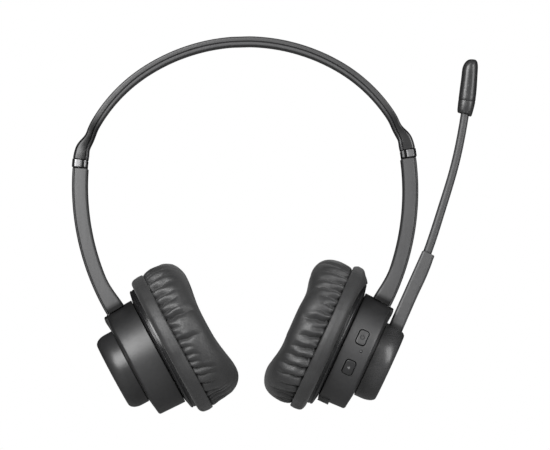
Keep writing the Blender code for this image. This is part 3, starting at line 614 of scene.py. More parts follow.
def coil(name, axis):
    """Copper wire wound about an axis, each turn lighter on its crown and darker between turns:
    painted highlight and shade.
    """
    mat = Finish(name)
    along = mat.vector("DOT_PRODUCT", mat.place, axis).outputs["Value"]
    turns = mat.math("SINE", mat.times(along, 45000.0))
    soft = mat.noise(scale=500.0, detail=2.0)
    return mat.surface({
        "Base Color": mat.mix(mat.ramp(turns, span=(-1, 1)),
                              (0.35, 0.12, 0.05), (0.75, 0.34, 0.16)),
        "Metallic": 1.0,
        "Roughness": mat.ramp(soft, to=(0.24, 0.38)),
        "Normal": mat.bump(turns, distance=0.00004)})


def lens(name):
    mat = Finish(name)
    soft = mat.noise(scale=900.0, detail=2.0)
    return mat.surface({
        "Base Color": mat.mix(mat.ramp(soft), (0.016, 0.016, 0.017), (0.03, 0.03, 0.032)),
        "Roughness": mat.ramp(soft, to=(0.3, 0.4)),
        "Normal": mat.bump(soft, distance=0.00002)})


SATIN = (0.022, 0.022, 0.0225)
MIC_BLACK = (0.018, 0.018, 0.0185)
SCREEN_BLACK = (0.018, 0.018, 0.019)
COARSE = dict(grain_scale=1700.0, speckle=0.12)
ARM_GRAIN = dict(rough=0.46, grain=0.00002, drawn=True, **COARSE)
# colour is linear; grain is the depth of the surface grain in metres
FINISH = {
    "shell": plastic("band_satin", (0.020, 0.020, 0.0205), rough=0.42, grain=0.000015),
    "liner": plastic("liner_soft", (0.034, 0.034, 0.035), rough=0.5, grain=0.000015,
                     speckle=0.12),
    # the two collars share one colour, made darker on the right: painted shade
    "left_collar": smoked_chrome("collar_chrome", (0.19, 0.19, 0.193)),
    "right_collar": smoked_chrome("collar_chrome_right_painted_shade", (0.15, 0.15, 0.152)),
    # the two arms share one colour, made darker on the right: painted shade
    "left_arm": plastic("arm_grey", (0.054, 0.054, 0.055), **ARM_GRAIN),
    "right_arm": plastic("arm_grey_right_painted_shade", (0.042, 0.042, 0.043), **ARM_GRAIN),
    "trim": plastic("arm_edge_dark", (0.010, 0.010, 0.0105), rough=0.5),
    "left_housing": plastic("housing_satin", SATIN, rough=0.42, grain=0.000012),
    # the right housing is the left's colour made 1.2 times lighter: painted light
    "right_housing": plastic("housing_satin_right_painted_light", tint(SATIN, factor=1.2), rough=0.42,
                             grain=0.000012),
    "cap": plastic("cap_satin", (0.021, 0.021, 0.0215), rough=0.36, grain=0.00001),
    "hub": plastic("hub_satin", (0.030, 0.030, 0.0305), rough=0.26, grain=0.000008),
    "ring": leatherette("pad_skirt_leatherette", (0.026, 0.026, 0.0265), rough=0.46),
    "gloss": gloss_plastic("gloss_black", (0.009, 0.009, 0.0095), rough=0.27),
    "mic": gloss_plastic("mic_gloss", MIC_BLACK, rough=0.32),
    "boot": gloss_plastic("mic_boot_satin", MIC_BLACK, rough=0.34),
    "boom": plastic("boom_grey", (0.045, 0.045, 0.046), rough=0.46, **COARSE),
    "stalk": plastic("stalk_grey", (0.035, 0.035, 0.036), rough=0.46, **COARSE),
    "upper_key": plastic("key_grey", (0.03, 0.03, 0.0305), rough=0.42, grain_scale=1900.0,
                         grain=0.00001),
    "lower_key": plastic("key_dark", (0.014, 0.014, 0.0145), rough=0.36, grain=0.00001),
    "icon": plastic("key_icon", (0.006, 0.006, 0.006), rough=0.5),
    # the pale triangle on the lower key is a painted highlight on its raised symbol
    "symbol_highlight": plastic("key_painted_highlight", (0.11, 0.11, 0.11), rough=0.4),
    "leather": leatherette("leatherette", (0.023, 0.023, 0.0235), rough=0.40),
    "left_screen": weave("screen_weave_left", SCREEN_BLACK, turn=TILT),
    "right_screen": weave("screen_weave_right", SCREEN_BLACK, turn=-TILT),
    "steel": metal("spring_steel", (0.56, 0.56, 0.57), rough=0.3),
    "nickel": metal("nickel_plate", (0.62, 0.6, 0.55), rough=0.24, stretch=(1, 1, 1)),
    "rubber": rubber("cable_jacket", (0.02, 0.02, 0.021)),
    "board": circuit("circuit_board"),
    "cell": foil("cell_foil"),
    "inner": plastic("inner_moulding", (0.05, 0.05, 0.052), rough=0.5),
    "lens": lens("light_lens"),
}

# ------------------------------------------------ headband path
CROWN_R = ARCS[0][0]
FLAT_ANGLE = CROWN_FLAT / CROWN_R
TOP_Z = CROWN_R * (1 - cos(FLAT_ANGLE)) + BAND_HALF * cos(FLAT_ANGLE)


def neck_offset(run):
    """The path dips inwards, then rises outwards, above the collar."""
    return NECK_RISE * bell(run, 2.6, centre=94.6) - NECK_DIP * bell(run, 3.4, centre=88.4)


def path(run):
    """x, z and downward slope angle at a positive run."""
    x, z, angle, left = 0.0, TOP_Z, 0.0, run
    for i, (radius, degrees) in enumerate(ARCS):
        share = min(left, radius * radians(degrees)) if i < len(ARCS) - 1 else left
        centre_x, centre_z = x - radius * sin(angle), z - radius * cos(angle)
        angle += share / radius
        x, z = centre_x + radius * sin(angle), centre_z + radius * cos(angle)
        left -= share
        if left <= 1e-9:
            break
    offset = neck_offset(run)
    turn = atan((neck_offset(run + 0.1) - neck_offset(run - 0.1)) / 0.2)
    return x + offset * sin(angle), z + offset * cos(angle), angle - turn


def sweep(stations, section):
    """Skins sections of (offset, y) at signed runs; negative runs lie on the left."""
    rings = []
    for run in stations:
        x, z, angle = path(abs(run))
        rings.append([(copysign(x + offset * sin(angle), run), y, z + offset * cos(angle))
                      for offset, y in section(run)])
    return skin(rings)


PATH_TABLE = np.array([(run, *path(run)[:2]) for run in spread(0.0, 180.0, 720)])


def run_of(points):
    x_gap = np.abs(points[:, 0])[:, None] - PATH_TABLE[None, :, 1]
    z_gap = points[:, 2][:, None] - PATH_TABLE[None, :, 2]
    return PATH_TABLE[np.argmin(x_gap * x_gap + z_gap * z_gap, axis=1), 0]


def run_and_offset(points):
    run = run_of(points)
    x, z, angle = np.array([path(value) for value in run]).T
    return run, (np.abs(points[:, 0]) - x) * np.sin(angle) + (points[:, 2] - z) * np.cos(angle)


# ------------------------------------------------ headband
def half_thickness(run, end):
    return BAND_HALF + (end - BAND_HALF) * step(abs(run), FLARE_START, FLARE_END)


def seam_at(run):
    run = abs(run)
    share = 0.1 + 0.2 * step(run, 30.0, 85.0) + 0.3 * step(run, 84.0, 96.0)
    return -half_thickness(run, CAP_IN) * share


def half_width(run):
    """Half width, drawn in around a run of 86."""
    return BAND_W - 0.55 * (1 - step(abs(abs(run) - 86.0), 0.0, 12.0))


def shell_section(run):
    top, width, seam = half_thickness(run, CAP_OUT), half_width(run), seam_at(run)
    radius = 0.85 + 0.75 * step(abs(run), 84.0, 94.0)
    return rounded([(seam, -width + 0.28), (seam + 0.34, -width), (top, -width), (top, width),
                    (seam + 0.34, width), (seam, width - 0.28),
                    (seam, 6.4), (1.5, 6.4), (1.5, -6.4), (seam, -6.4)],
                   [0.1, 0.15, radius, radius, 0.15, 0.1, 0, 0, 0, 0], 7)


def liner_section(run):
    bottom, width, seam = -half_thickness(run, CAP_IN), half_width(run), seam_at(run) - SEAM
    return rounded([(seam, -width + 0.28), (seam - 0.34, -width), (bottom, -width),
                    (bottom, width), (seam - 0.34, width), (seam, width - 0.28)],
                   [0.1, 0.12, 0.55, 0.55, 0.12, 0.1], 4)


def band_gloss(points):
    return step(run_of(points), 80.0, 88.0)


def band_painted_shade(points):
    """Painted shade: darker towards the ends, most around the neck, and more so on the left."""
    run = run_of(points)
    end = np.where(points[:, 0] > 0, 0.04, 0.36) + 0.5 * (1 - step(run, 89.0, 97.0))
    return step(run, 76.0, 85.0) * end


right_runs = spread(CROWN_FLAT, BAND_END - 4, 70) + spread(BAND_END - 4, CAP_END, 34)[1:]
band_runs = [-run for run in reversed(right_runs)] + right_runs
place("band_shell", sweep(band_runs, shell_section), "shell", "headband", "headband_shell",
      "satin_plastic", gloss=band_gloss, dark=band_painted_shade)
place("band_liner", sweep(band_runs, liner_section), "liner", "headband", "headband_liner",
      "liner_plastic", gloss=band_gloss, dark=band_painted_shade)

# ------------------------------------------------ collars and arms
COLLAR_TOP = CAP_END + 0.25
COLLAR_EDGE = (0.0, 0.05, 0.12, 0.22, 0.35)


def collar_section(run):
    """Grooved section with crowned front and back faces, drawn in at the rims."""
    run = abs(run)
    inset = 0.3 * rim_inset(min(run - COLLAR_TOP, COLLAR_END - run) / 0.35)
    inner, outer, width = -ARM_HALF + 0.3 + inset, ARM_HALF + 0.2 - inset, BAND_W - inset
    # offset and recess from the full width
    points = [(inner, 0.25), (inner + 0.28, 0.04), (-2.4, 0.02), (-1.95, 0.02),
              (-1.8, 0.5), (-1.0, 0.5), (-0.85, 0.3)]
    points += [(0.95 + 1.75 * u, 0.3 - 0.14 * (1 - u ** 4)) for u in spread(-1.0, 1.0, 14)]
    points += [(2.75, 0.42), (outer - 0.7, 0.3), (outer, 0.9)]
    front = [(offset, -width + recess) for offset, recess in points]
    return front + [(offset, -y) for offset, y in reversed(front)]


def collar_dark(points):
    """Dark all over but for the two polished bands on the front and back."""
    run, offset = run_and_offset(points)
    face = ((offset > -0.7) & (offset < 2.65)) | ((offset > -2.5) & (offset < -1.88))
    rim = (run < CAP_END + 0.45) | (run > COLLAR_END - 0.25)
    return np.where(face & ~rim & (np.abs(points[:, 1]) > BAND_W - 0.62), 0.0, 1.0)


def bore_section(inner, outer):
    return lambda run: [(inner, -6.4), (outer, -6.4), (outer, 6.4), (inner, 6.4)]


def make_collar(side, sign):
    runs = [COLLAR_TOP + v for v in (*COLLAR_EDGE, 0.5)]
    runs += spread(CAP_END + 0.8, COLLAR_END - 0.6, 10)
    runs += [COLLAR_END - v for v in reversed(COLLAR_EDGE)]
    bore = sweep([sign * v for v in spread(CAP_END - 1.0, COLLAR_END + 1.0, 6)],
                 bore_section(-1.3, 1.75))
    ring = cut(sweep([sign * v for v in runs], collar_section), bore)
    place(side + "_collar_ring", ring, side + "_collar", "headband", side + "_collar",
          "gloss_plastic", sharp=40, dark=collar_dark)


ARM_IN, ARM_OUT = -ARM_HALF - 0.18, 2.37
ARM_MID, ARM_SPAN = (ARM_IN + ARM_OUT) / 2, (ARM_OUT - ARM_IN) / 2


def arm_outline(inner_radius=1.15, outer_radius=0.3, crown=0.16):
    """Section of an arm with a slightly crowned front and back."""
    base = rounded([(ARM_IN, -ARM_W), (ARM_OUT, -ARM_W), (ARM_OUT, ARM_W), (ARM_IN, ARM_W)],
                   [inner_radius, outer_radius, outer_radius, inner_radius], 5)
    outline = []
    for offset, y in dense(base, 0.28):
        share = abs(offset - ARM_MID) / ARM_SPAN
        if abs(y) > ARM_W - inner_radius * 0.4 and share < 0.985:
            y -= copysign(crown * (1.0 - bell(share, 0.13, centre=0.70)), y)
        outline.append((offset, y))
    return outline


ARM_OUTLINE = arm_outline()


def foot_growth(run):
    """How far the foot of the arm widens towards the head."""
    return 1.9 * step(run, ARM_TOP + 53.0, ARM_LOW)


def top_inset(run, depth):
    return depth * (1 - min(1.0, (abs(run) - ARM_TOP) / 0.3))


def arm_section(run):
    inset, growth = top_inset(run, 0.22), foot_growth(abs(run))
    return [(ARM_MID + (offset - ARM_MID) * (ARM_SPAN - inset) / ARM_SPAN
             - growth * (ARM_OUT - offset) / (2 * ARM_SPAN), y * (ARM_W - inset) / ARM_W)
            for offset, y in ARM_OUTLINE]


def cover_section(run):
    outer, width = ARM_HALF - 0.15 - top_inset(run, 0.2), ARM_W - 0.05
    return rounded([(2.5, -width), (outer, -width), (outer, width), (2.5, width)],
                   [0.12, 0.75, 0.75, 0.12], 5)


def slide_slot(sign):
    """Straight slot into the top of the arm, along the chord of the path below the collar."""
    x0, z0, _ = path(COLLAR_END)
    x1, z1, _ = path(COLLAR_END + 36.0)
    down = Vector((x1 - x0, 0, z1 - z0)).normalized()
    out_x, out_z = -down.z, down.x
    rings = []
    for length in (-3.0, 9.0):
        x = x0 + down.x * length + out_x * SLOT_OFFSET
        z = z0 + down.z * length + out_z * SLOT_OFFSET
        rings.append([(sign * (x + out_x * offset), y, z + out_z * offset) for offset, y in
                      ((-0.65, -3.95), (0.65, -3.95), (0.65, 3.95), (-0.65, 3.95))])
    return skin(rings)


def cup_clearance(side):
    """Solid of (depth, radius) that trims the arm around its cup."""
    solid = lathe([(-40, 0), (-40, 27.45), (-15.6, 27.45), (-5.6, 27.77), (20, 27.77), (20, 0)],
                  120)
    bmesh.ops.transform(solid, matrix=FRAME[side], verts=solid.verts)
    return solid


def make_arm(side, sign):
    """A grey shell with a dark cover strip down its outer face."""
    def foot_and_rim_painted_shade(points):
        """Painted shade around the cup and along the inner rim."""
        to_cup = np.array(FRAME[side].inverted())
        height = np.abs(points @ to_cup[2, :3] + to_cup[2, 3])
        run, offset = run_and_offset(points)
        from_rim = offset - (ARM_IN - foot_growth(run))
        return np.maximum(0.95 * (1 - step(height, 27.4, 30.4)),
                          0.62 * (1 - step(from_rim, 0.65, 1.15)))

    runs = [ARM_TOP, ARM_TOP + 0.12, ARM_TOP + 0.3] + spread(ARM_TOP + 1.0, ARM_LOW, 64)
    runs = [sign * v for v in runs]
    cavity = sweep([sign * v for v in spread(ARM_TOP + 5.0, ARM_LOW + 3.0, 40)],
                   bore_section(-2.2, 3.2))
    shell = cut(sweep(runs, arm_section), cavity, slide_slot(sign), cup_clearance(side))
    place(side + "_arm_front", shell, side + "_arm", side + "_arm", side + "_arm_shell",
          "grey_plastic", dark=foot_and_rim_painted_shade)
    place(side + "_arm_edge", cut(sweep(runs, cover_section), cup_clearance(side)), "trim",
          side + "_arm", side + "_arm_cover", "satin_plastic")


for side, sign in SIDES.items():
    make_collar(side, sign)
    make_arm(side, sign)


# ------------------------------------------------ keys as solids
def front_axes(angle):
    """Outward and upward directions at the cup's front, at an angle above its axis."""
    return Vector((0, -cos(angle), sin(angle))), Vector((0, sin(angle), cos(angle)))


def key_solid(which, low_radius, top_radius, grow=0.0, domed=False):
    """A rounded key, from a low to a top radius about the cup's axis."""
    key_depth, angle, half_depth, half_height, _ = KEYS[which]
    half_depth, half_height = half_depth + grow, half_height + grow
    corner = 1.3 + grow
    out, up = front_axes(angle)
    # height along the key and its half depth there
    stops = [(-half_height + corner * (1 - cos(a)), half_depth - corner + corner * sin(a))
             for a in spread(0.12, QUARTER, 9)]
    stops += [(t, half_depth) for t in spread(-half_height + corner, half_height - corner, 12)[1:-1]]
    stops += [(-t, half) for t, half in reversed(stops[:10])]
    rings = []
    for t, half in stops:
        top = sqrt(top_radius * top_radius - t * t)
        if domed:
            edge = min(0.35, half * 0.4)
            top -= 0.28 * rim_inset((half_height - abs(t)) / 0.4)
            curve = [(half - edge * (1 - cos(a)), top - edge * 0.8 * (1 - sin(a)))
                     for a in spread(0, QUARTER, 4)]
            row = [(-half, low_radius)] + [(-depth, radius) for depth, radius in curve]
            row += [(-half * 0.4, top + 0.02), (half * 0.4, top + 0.02)]
            row += curve[::-1] + [(half, low_radius)]
        else:
            row = [(-half, low_radius), (-half, top), (half, top), (half, low_radius)]
        rings.append([tuple(Vector((key_depth + depth, 0, 0)) + out * radius + up * t)
                      for depth, radius in row])
    return skin(rings)


# ------------------------------------------------ soft parts
# main folds at the front of each cushion: height on the seam (mm), length (mm),
# lean (mm per mm), depth factor
FOLDS = {
    "left": [(30.4, 11.0, -0.05, 1.5), (26.6, 12.0, -0.08, 1.5), (22.6, 10.0, -0.1, 1.3),
             (18.4, 10.0, -0.1, 1.3), (14.4, 8.0, -0.1, 1.0), (10.8, 14.5, -0.12, 1.5),
             (6.3, 5.5, -0.2, 0.8), (2.7, 5.0, -0.2, 0.8), (-0.4, 12.0, -0.2, 1.3),
             (-4.3, 6.5, -0.2, 0.9), (-8.1, 7.0, -0.25, 1.0), (-11.6, 6.0, -0.2, 0.8),
             (-15.0, 10.0, -0.3, 1.2), (-19.0, 9.0, -0.25, 1.1), (-23.6, 8.0, -0.2, 1.0),
             (-28.0, 8.0, -0.1, 0.9)],
    "right": [(30.2, 12.0, -0.1, 1.5), (26.6, 13.0, -0.15, 1.5), (23.0, 13.0, -0.18, 1.4),
              (19.0, 10.0, -0.2, 1.3), (15.1, 7.0, -0.2, 1.0), (11.2, 8.0, -0.2, 0.9),
              (7.5, 13.0, -0.26, 1.5), (3.6, 7.0, -0.25, 0.9), (-1.2, 11.0, -0.22, 1.4),
              (-4.4, 5.0, -0.2, 0.7), (-7.2, 12.0, -0.2, 1.4), (-12.2, 13.5, -0.18, 1.6),
              (-17.3, 14.0, -0.15, 1.7), (-22.0, 13.0, -0.12, 1.5), (-26.6, 10.0, -0.1, 1.2)]}
# (depth, radius) from the outer edge of the seam, over the face, to the inner edge
CUSHION_PROFILE = [(4.3, 32.6), (4.45, 34.0), (5.5, 35.0), (8.4, 35.5), (11.5, 35.4),
                   (15.0, 34.6), (17.9, 32.8), (19.8, 30.1), (20.75, 26.4), (20.45, 22.4),
                   (18.6, 18.4), (14.8, 15.4), (9.8, 14.2), (4.9, 14.0)]


def face_wave(side, height):
    """How far the soft face stands proud of its plane."""
    if side == "left":
        return 0.35 + 0.55 * bell(height, 8.0, centre=21.0) + bell(height, 9.0, centre=-20.0)
    return -bell(height, 6.0, centre=16.5) - 0.75 * bell(height, 5.5, centre=-13.0)


def seam_folds(side, rng):
    """Angle, length, lean and depth of all folds: the tabled ones, then 39 more around."""
    folds = [(1.5 * pi + asin(height / 34.6), length, lean, depth)
             for height, length, lean, depth in FOLDS[side]]
    low, high = min(fold[0] for fold in folds), max(fold[0] for fold in folds)
    gap = (tau - (high - low)) / 40
    for i in range(1, 40):
        folds.append((high + gap * (i + rng.uniform(-0.28, 0.28)),
                      rng.choice((6.0, 7.0, 9.0, 10.0, 13.0)) * rng.uniform(0.9, 1.15),
                      rng.uniform(-0.2, 0.2), rng.uniform(0.75, 1.3)))
    return folds


def ring_grid(depth, radius, angle):
    return np.stack([depth, radius * np.sin(angle), radius * np.cos(angle)], axis=2)


def cushion(side):
    """Padded ring: gathered into its seam, plump at the rim, smooth on the face.

    Returns the grid of points (along the profile, around) and at each the painted shade of the
    creases, the seam, the face and the top."""
    rng = random.Random(5 if side == "left" else 11)
    profile = catmull(CUSHION_PROFILE, 8)
    lengths = np.r_[0.0, np.cumsum(np.hypot(*np.diff(profile, axis=0).T))]
    total = lengths[-1]
    rows, count = ((112, 620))
    along = total * np.linspace(0, 1, rows) ** 1.12
    profile = np.c_[np.interp(along, lengths, profile[:, 0]),
                    np.interp(along, lengths, profile[:, 1])]
    tangent = np.gradient(profile, axis=0)
    tangent /= np.linalg.norm(tangent, axis=1)[:, None]
    angle = np.linspace(0, tau, count, endpoint=False)[None, :]
    along = along[:, None]
    push = np.zeros((rows, count))
    crease = np.zeros((rows, count))

    # folds from the seam: a sharp valley, a soft hollow and a ridge beside it, with painted shade
    # along the valley
    for at, length, lean, depth in seam_folds(side, rng):
        bow = rng.uniform(-0.008, 0.008)
        across = (wrap(angle - at) * 34.5 - lean * along - bow * along * along
                  + 0.22 * np.sin(along * 0.9 + at * 7))
        distance = np.abs(across)
        fade = (1 - np.clip(along / (1.3 * length), 0, 1) ** 2.2) ** 1.2
        near = 0.35 + 0.65 * step(along, 0.0, 1.5)
        steep = np.where(across > 0, 1.0, 1.5)
        push -= 1.15 * depth * np.exp(-distance * steep / (0.62 + 0.035 * along)) * fade * near
        push -= 0.7 * depth * bell(distance, 1.7 + 0.06 * along) * fade * near
        push += 0.36 * depth * bell(across - 2.1 - 0.05 * along, 1.2) * fade * near
        line = bell(distance, 0.42 + 0.015 * along) * fade * min(1.0, 0.85 * depth)
        crease = np.maximum(crease, line)

    # short loose wrinkles, with painted shade along them
    for _ in range(60):
        at, centre = rng.uniform(0, tau), rng.uniform(6.0, 22.0)
        turn, length, depth = rng.uniform(-0.45, 0.3), rng.uniform(2.0, 5.5), rng.uniform(0.06, 0.17)
        side_gap, gap = wrap(angle - at) * 33.0, along - centre
        lengthwise = gap * cos(turn) + side_gap * sin(turn)
        across = side_gap * cos(turn) - gap * sin(turn)
        fade = np.clip(1 - (lengthwise / length) ** 2, 0, 1) ** 2
        push -= depth * np.exp(-np.abs(across) / 0.55) * fade
        crease = np.maximum(crease, 0.3 * bell(across, 0.3) * fade)

    # folds around the opening, with painted shade along them
    for i in range(30):
        at = tau * (i + rng.uniform(-0.3, 0.3)) / 30
        length, lean = rng.uniform(4.0, 9.0), rng.uniform(-0.15, 0.15)
        from_end = total - along
        distance = np.abs(wrap(angle - at) * 14.5 - lean * from_end)
        fade = 1 - step(from_end, 0.0, length)
        push -= 0.5 * np.exp(-distance / (0.5 + 0.05 * from_end)) * fade
        crease = np.maximum(crease, bell(distance, 0.3) * fade * 0.8)

    # broad unevenness
    for _ in range(9):
        waves, phase, centre = rng.randint(3, 11), rng.uniform(0, 6.28), rng.uniform(6, 30)
        push += 0.08 * np.cos(waves * angle + phase) * bell(along, 9.0, centre)

    # painted shade along the seam
    crease = np.maximum(crease, 0.95 * (1 - step(along, 0.385, 1.485)))
    depth = profile[:, :1] - tangent[:, 1:] * push
    radius = profile[:, 1:] + tangent[:, :1] * push
    depth = np.maximum(depth, 4.28)
    height = radius * np.cos(angle)
    wave = 0.9 * np.cos(2 * angle) + face_wave(side, height)
    depth = depth + np.clip((depth - 4.65) / 16.0, 0, 1) * wave
    low = step(-height, 24.0, 35.0)
    swell = 0.35 * step(height, 26.0, 34.0) - 1.3 * low if side == "left" else 0.3 * low
    radius = radius + swell * step(along, 1.0, 7.0)
    # painted shade over the face towards the head and at the top
    shade = 0.62 * step(depth, 11.5, 19.5) + 0.2 * step(height, 26.0, 33.0)
    return ring_grid(depth, radius, angle), np.maximum(crease, shade)


def skirt(side):
    """Leatherette over the rim of the baffle: soft corners, uneven, puckered at its seam.

    Returns the grid of points and the painted shade at each."""
    right = side == "right"
    rng = random.Random(34 if right else 21)
    outline = rounded([(-2.2, 31.3), (-2.2, 35.0), (2.2, 35.5), (4.55, 35.25), (4.55, 24.0),
                       (2.6, 24.0), (2.6, 31.3)], [0.2, 2.9, 4.0, 0.7, 0.2, 0.2, 0.3], 9)
    profile = np.array(dense(outline, 0.7))
    count = 620
    angle = np.linspace(0, tau, count, endpoint=False)[None, :]
    depth = np.repeat(profile[:, :1], count, axis=1)
    radius = np.repeat(profile[:, 1:], count, axis=1)
    outside = step(radius, 33.2, 34.8)
    for _ in range(14):
        waves, phase, size = rng.randint(4, 26), rng.uniform(0, 6.28), rng.uniform(0.015, 0.04)
        skew = rng.uniform(-1, 1)
        radius = radius + outside * size * np.cos(waves * angle + phase + 0.25 * depth * skew)
    pucker = np.zeros_like(depth)
    for i in range(90):
        at = tau * (i + rng.uniform(-0.35, 0.35)) / 90
        pucker += bell(wrap(angle - at) * 35.0, 0.45) * rng.uniform(0.4, 1.0)
    radius = radius - outside * 0.08 * pucker * step(depth, 3.3, 4.5)
    depth = depth - outside * 0.12 * pucker * step(depth, 3.8, 4.5)
    # bulge at the top
    top = bell(wrap(angle), 0.62, centre=0.18 if right else 0.0)
    bulge = 1.75 if right else -0.35
    radius = radius + (outside * bulge * top * (0.45 + 0.55 * step(depth, -2.2, 0.2))
                       * (1 - 0.35 * step(depth, 2.6, 4.4)))
    if right:
        radius = radius + outside * 0.5 * bell(angle, 0.6, centre=pi)
        depth = depth - (2.5 * step(-depth, 0.0, 1.6) * np.clip((35.4 - radius) / 3.9, 0.12, 1)
                         * bell(wrap(angle), 0.5))
    # painted shade at the puckers, along the seam edge and towards the top
    crease = np.clip(pucker * step(depth, 3.4, 4.4) * 0.35 * outside
                     + 0.5 * step(depth, 3.9, 4.4) * outside, 0, 1)
    crease = np.maximum(crease, 0.62 * step(radius * np.cos(angle), 14.0, 28.0))
    return ring_grid(depth, radius, angle), crease


def place_soft(name, grid_and_crease, finish, side, node, sharp):
    """Skins a grid that closes both ways and places it with the painted shade of its creases."""
    grid, crease = grid_and_crease
    rows, count, _ = grid.shape
    points = [tuple(point) for point in grid.reshape(-1, 3)]
    faces = [(i * count + j, i * count + (j + 1) % count,
              ((i + 1) % rows) * count + (j + 1) % count, ((i + 1) % rows) * count + j)
             for i in range(rows) for j in range(count)]
    place(name, mesh_of(points, faces), finish, side + "_cup", node, "leatherette", FRAME[side],
          sharp, crease=lambda local: crease.reshape(-1))


# ------------------------------------------------ cups
def screw_rods(start, end, radius, sides):
    """Two rods at the screw places, between two depths."""
    return [rod((start, y, SCREW_HEIGHT), (end, y, SCREW_HEIGHT), radius, sides)
            for y in (-SCREW_ACROSS, SCREW_ACROSS)]


def light_point(radius):
    return Vector((LIGHT_DEPTH, 0, 0)) + front_axes(LIGHT_ANGLE)[0] * radius


# painted shade: darker towards the top, and nearly black on the raised block beyond the end face
def housing_painted_shade(points):
    return np.maximum(0.5 * step(points[:, 2], 15.0, 24.0),
                      0.95 * step(-points[:, 0], 20.3, 20.7))


def make_housing(side):
    profile = rounded([(-5.8, 27.0), (-19.3, 26.5), (-20.3, 19.4), (-20.3, 0.0), (-18.6, 0.0),
                       (-18.6, 24.8), (-5.8, 25.2)], [0.25, 1.1, 0.4, 0, 0, 0.4, 0], 6)
    # raised block on the upper outer face
    block = rounded([(-19.2, 18.2), (-20.45, 18.2), (-21.05, 24.6), (-20.7, 25.95),
                     (-19.2, 25.95)], [0, 0.3, 1.2, 0.7, 0], 6)
    additions = [skin([[(depth, y, sqrt(radius * radius - y * y)) for depth, radius in block]
                       for y in spread(-8.4, 8.4, 13)])]
    additions += screw_rods(-19.2, -2.75, 2.6, 32)
    openings = [box((-18.7, -12.5), (-5.6, 5.6), (20.0, 30.0))]
    openings += screw_rods(-16.0, -1.0, 1.05, 24)
    if side == "right":
        # block and opening at the bottom, hub bore, key openings and light hole
        bottom = rounded([(-7.5, -24.6), (7.5, -24.6), (6.6, -28.0), (-6.6, -28.0)],
                         [0, 0, 1.0, 1.0], 6)
        additions.insert(0, plate(bottom, (-11.4, -6.1)))
        openings.append(rod((-25.0, 0, 0), (-15.0, 0, 0), 5.1, 64))
        openings.append(box((-10.5, -6.9), (-4.75, 4.75), (-32.0, -22.0)))
        openings += [key_solid(which, 22.0, 31.0, grow=0.42) for which in KEYS]
        openings.append(rod(light_point(22), light_point(30), 0.75, 32))
    shell = cut(join(lathe(dense(profile, 1.3)), *additions), *openings)
    place(side + "_housing_shell", shell, side + "_housing", side + "_cup", side + "_housing",
          "satin_plastic", FRAME[side], 30, dark=housing_painted_shade)


def make_baffle(side):
    profile = rounded([(-5.55, 26.2), (-4.7, 30.3), (-4.3, 30.9), (-3.75, 31.0), (-3.6, 30.75),
                       (-3.3, 30.75), (-3.15, 31.0), (-2.45, 31.0), (-0.8, 31.0), (-0.8, 15.3),
                       (-2.45, 15.3), (-2.45, 24.6), (-5.55, 24.6)],
                      [0.2, 0.4, 0.4, 0.2, 0.05, 0.05, 0.2, 0, 0.2, 0.2, 0, 0, 0], 6)
    place(side + "_baffle_rim", cut(lathe(profile), *screw_rods(-4, 1, 1.15, 24)), "gloss",
          side + "_cup", side + "_baffle", "gloss_plastic", FRAME[side], 40)


def make_screen(side):
    """Dust screen, sagging a little in the middle."""
    sag = [(0.35 * (cos(pi * radius / 23.7) * 0.5 + 0.5) * 0.6, radius)
           for radius in spread(1.5, 22.9, 16)]
    profile = [(2.9, 0.0)] + [(2.9 - drop, radius) for drop, radius in sag]
    profile += [(2.95, 23.6), (3.2, 23.7), (3.45, 23.6)]
    profile += [(3.5 - drop, radius) for drop, radius in reversed(sag)] + [(3.3, 0.0)]
    place(side + "_screen", lathe(profile, 96), side + "_screen", side + "_cup",
          side + "_dust_screen", "screen_cloth", FRAME[side], 60)


for side in SIDES:
    make_housing(side)
    make_baffle(side)
    place_soft(side + "_pad_ring_skirt", skirt(side), "ring", side, side + "_pad_ring", sharp=60)
    make_screen(side)
    place_soft(side + "_ear_cushion", cushion(side), "leather", side, side + "_cushion", sharp=0)


# ------------------------------------------------ left cover, right hub
def drum_face(depth, edge_depth, edge_inset):
    """Rounded outer edge and flat face, as (depth, radius)."""
    edge = [(depth + edge_depth * (1 - sin(a)), CAP_R - 0.05 - edge_inset * (1 - cos(a)))
            for a in spread(0.0, QUARTER, 26)]
    return edge + [(depth - 0.15, 10.0), (depth, 0.0)]


cover = [(-28.3, 0.0), (-28.3, 16.0), (-21.5, 16.8), (-20.35, 16.9), (-20.35, 17.7),
         (-20.55, 17.75), (-20.55, CAP_R - 0.25), (-20.8, CAP_R - 0.05)]
cover += drum_face(-30.0, edge_depth=5.6, edge_inset=3.3)
place("left_cover_drum", lathe(dense(cover, 1.5)), "cap", "left_cup", "left_cover",
      "satin_plastic", FRAME["left"], 30)

hub = [(-16.6, 0.0), (-16.6, 4.6), (-17.1, 4.9), (-17.1, 4.1), (-18.35, 4.1), (-18.35, 5.0),
       (-28.8, 5.0), (-28.8, 15.6), (-20.4, 16.6), (-20.4, 17.7), (-20.65, 17.75),
       (-20.65, CAP_R - 0.25), (-20.9, CAP_R - 0.05)]
hub += drum_face(-30.6, edge_depth=6.6, edge_inset=2.8)
stem_opening = box((-28.0, -21.9), (-4.3, 4.3), (10.0, 22.0))
RIGHT = FRAME["right"]
place("boom_hub_drum", cut(lathe(dense(hub, 1.5)), stem_opening), "hub", "boom", "boom_hub",
      "satin_plastic", RIGHT, 30)


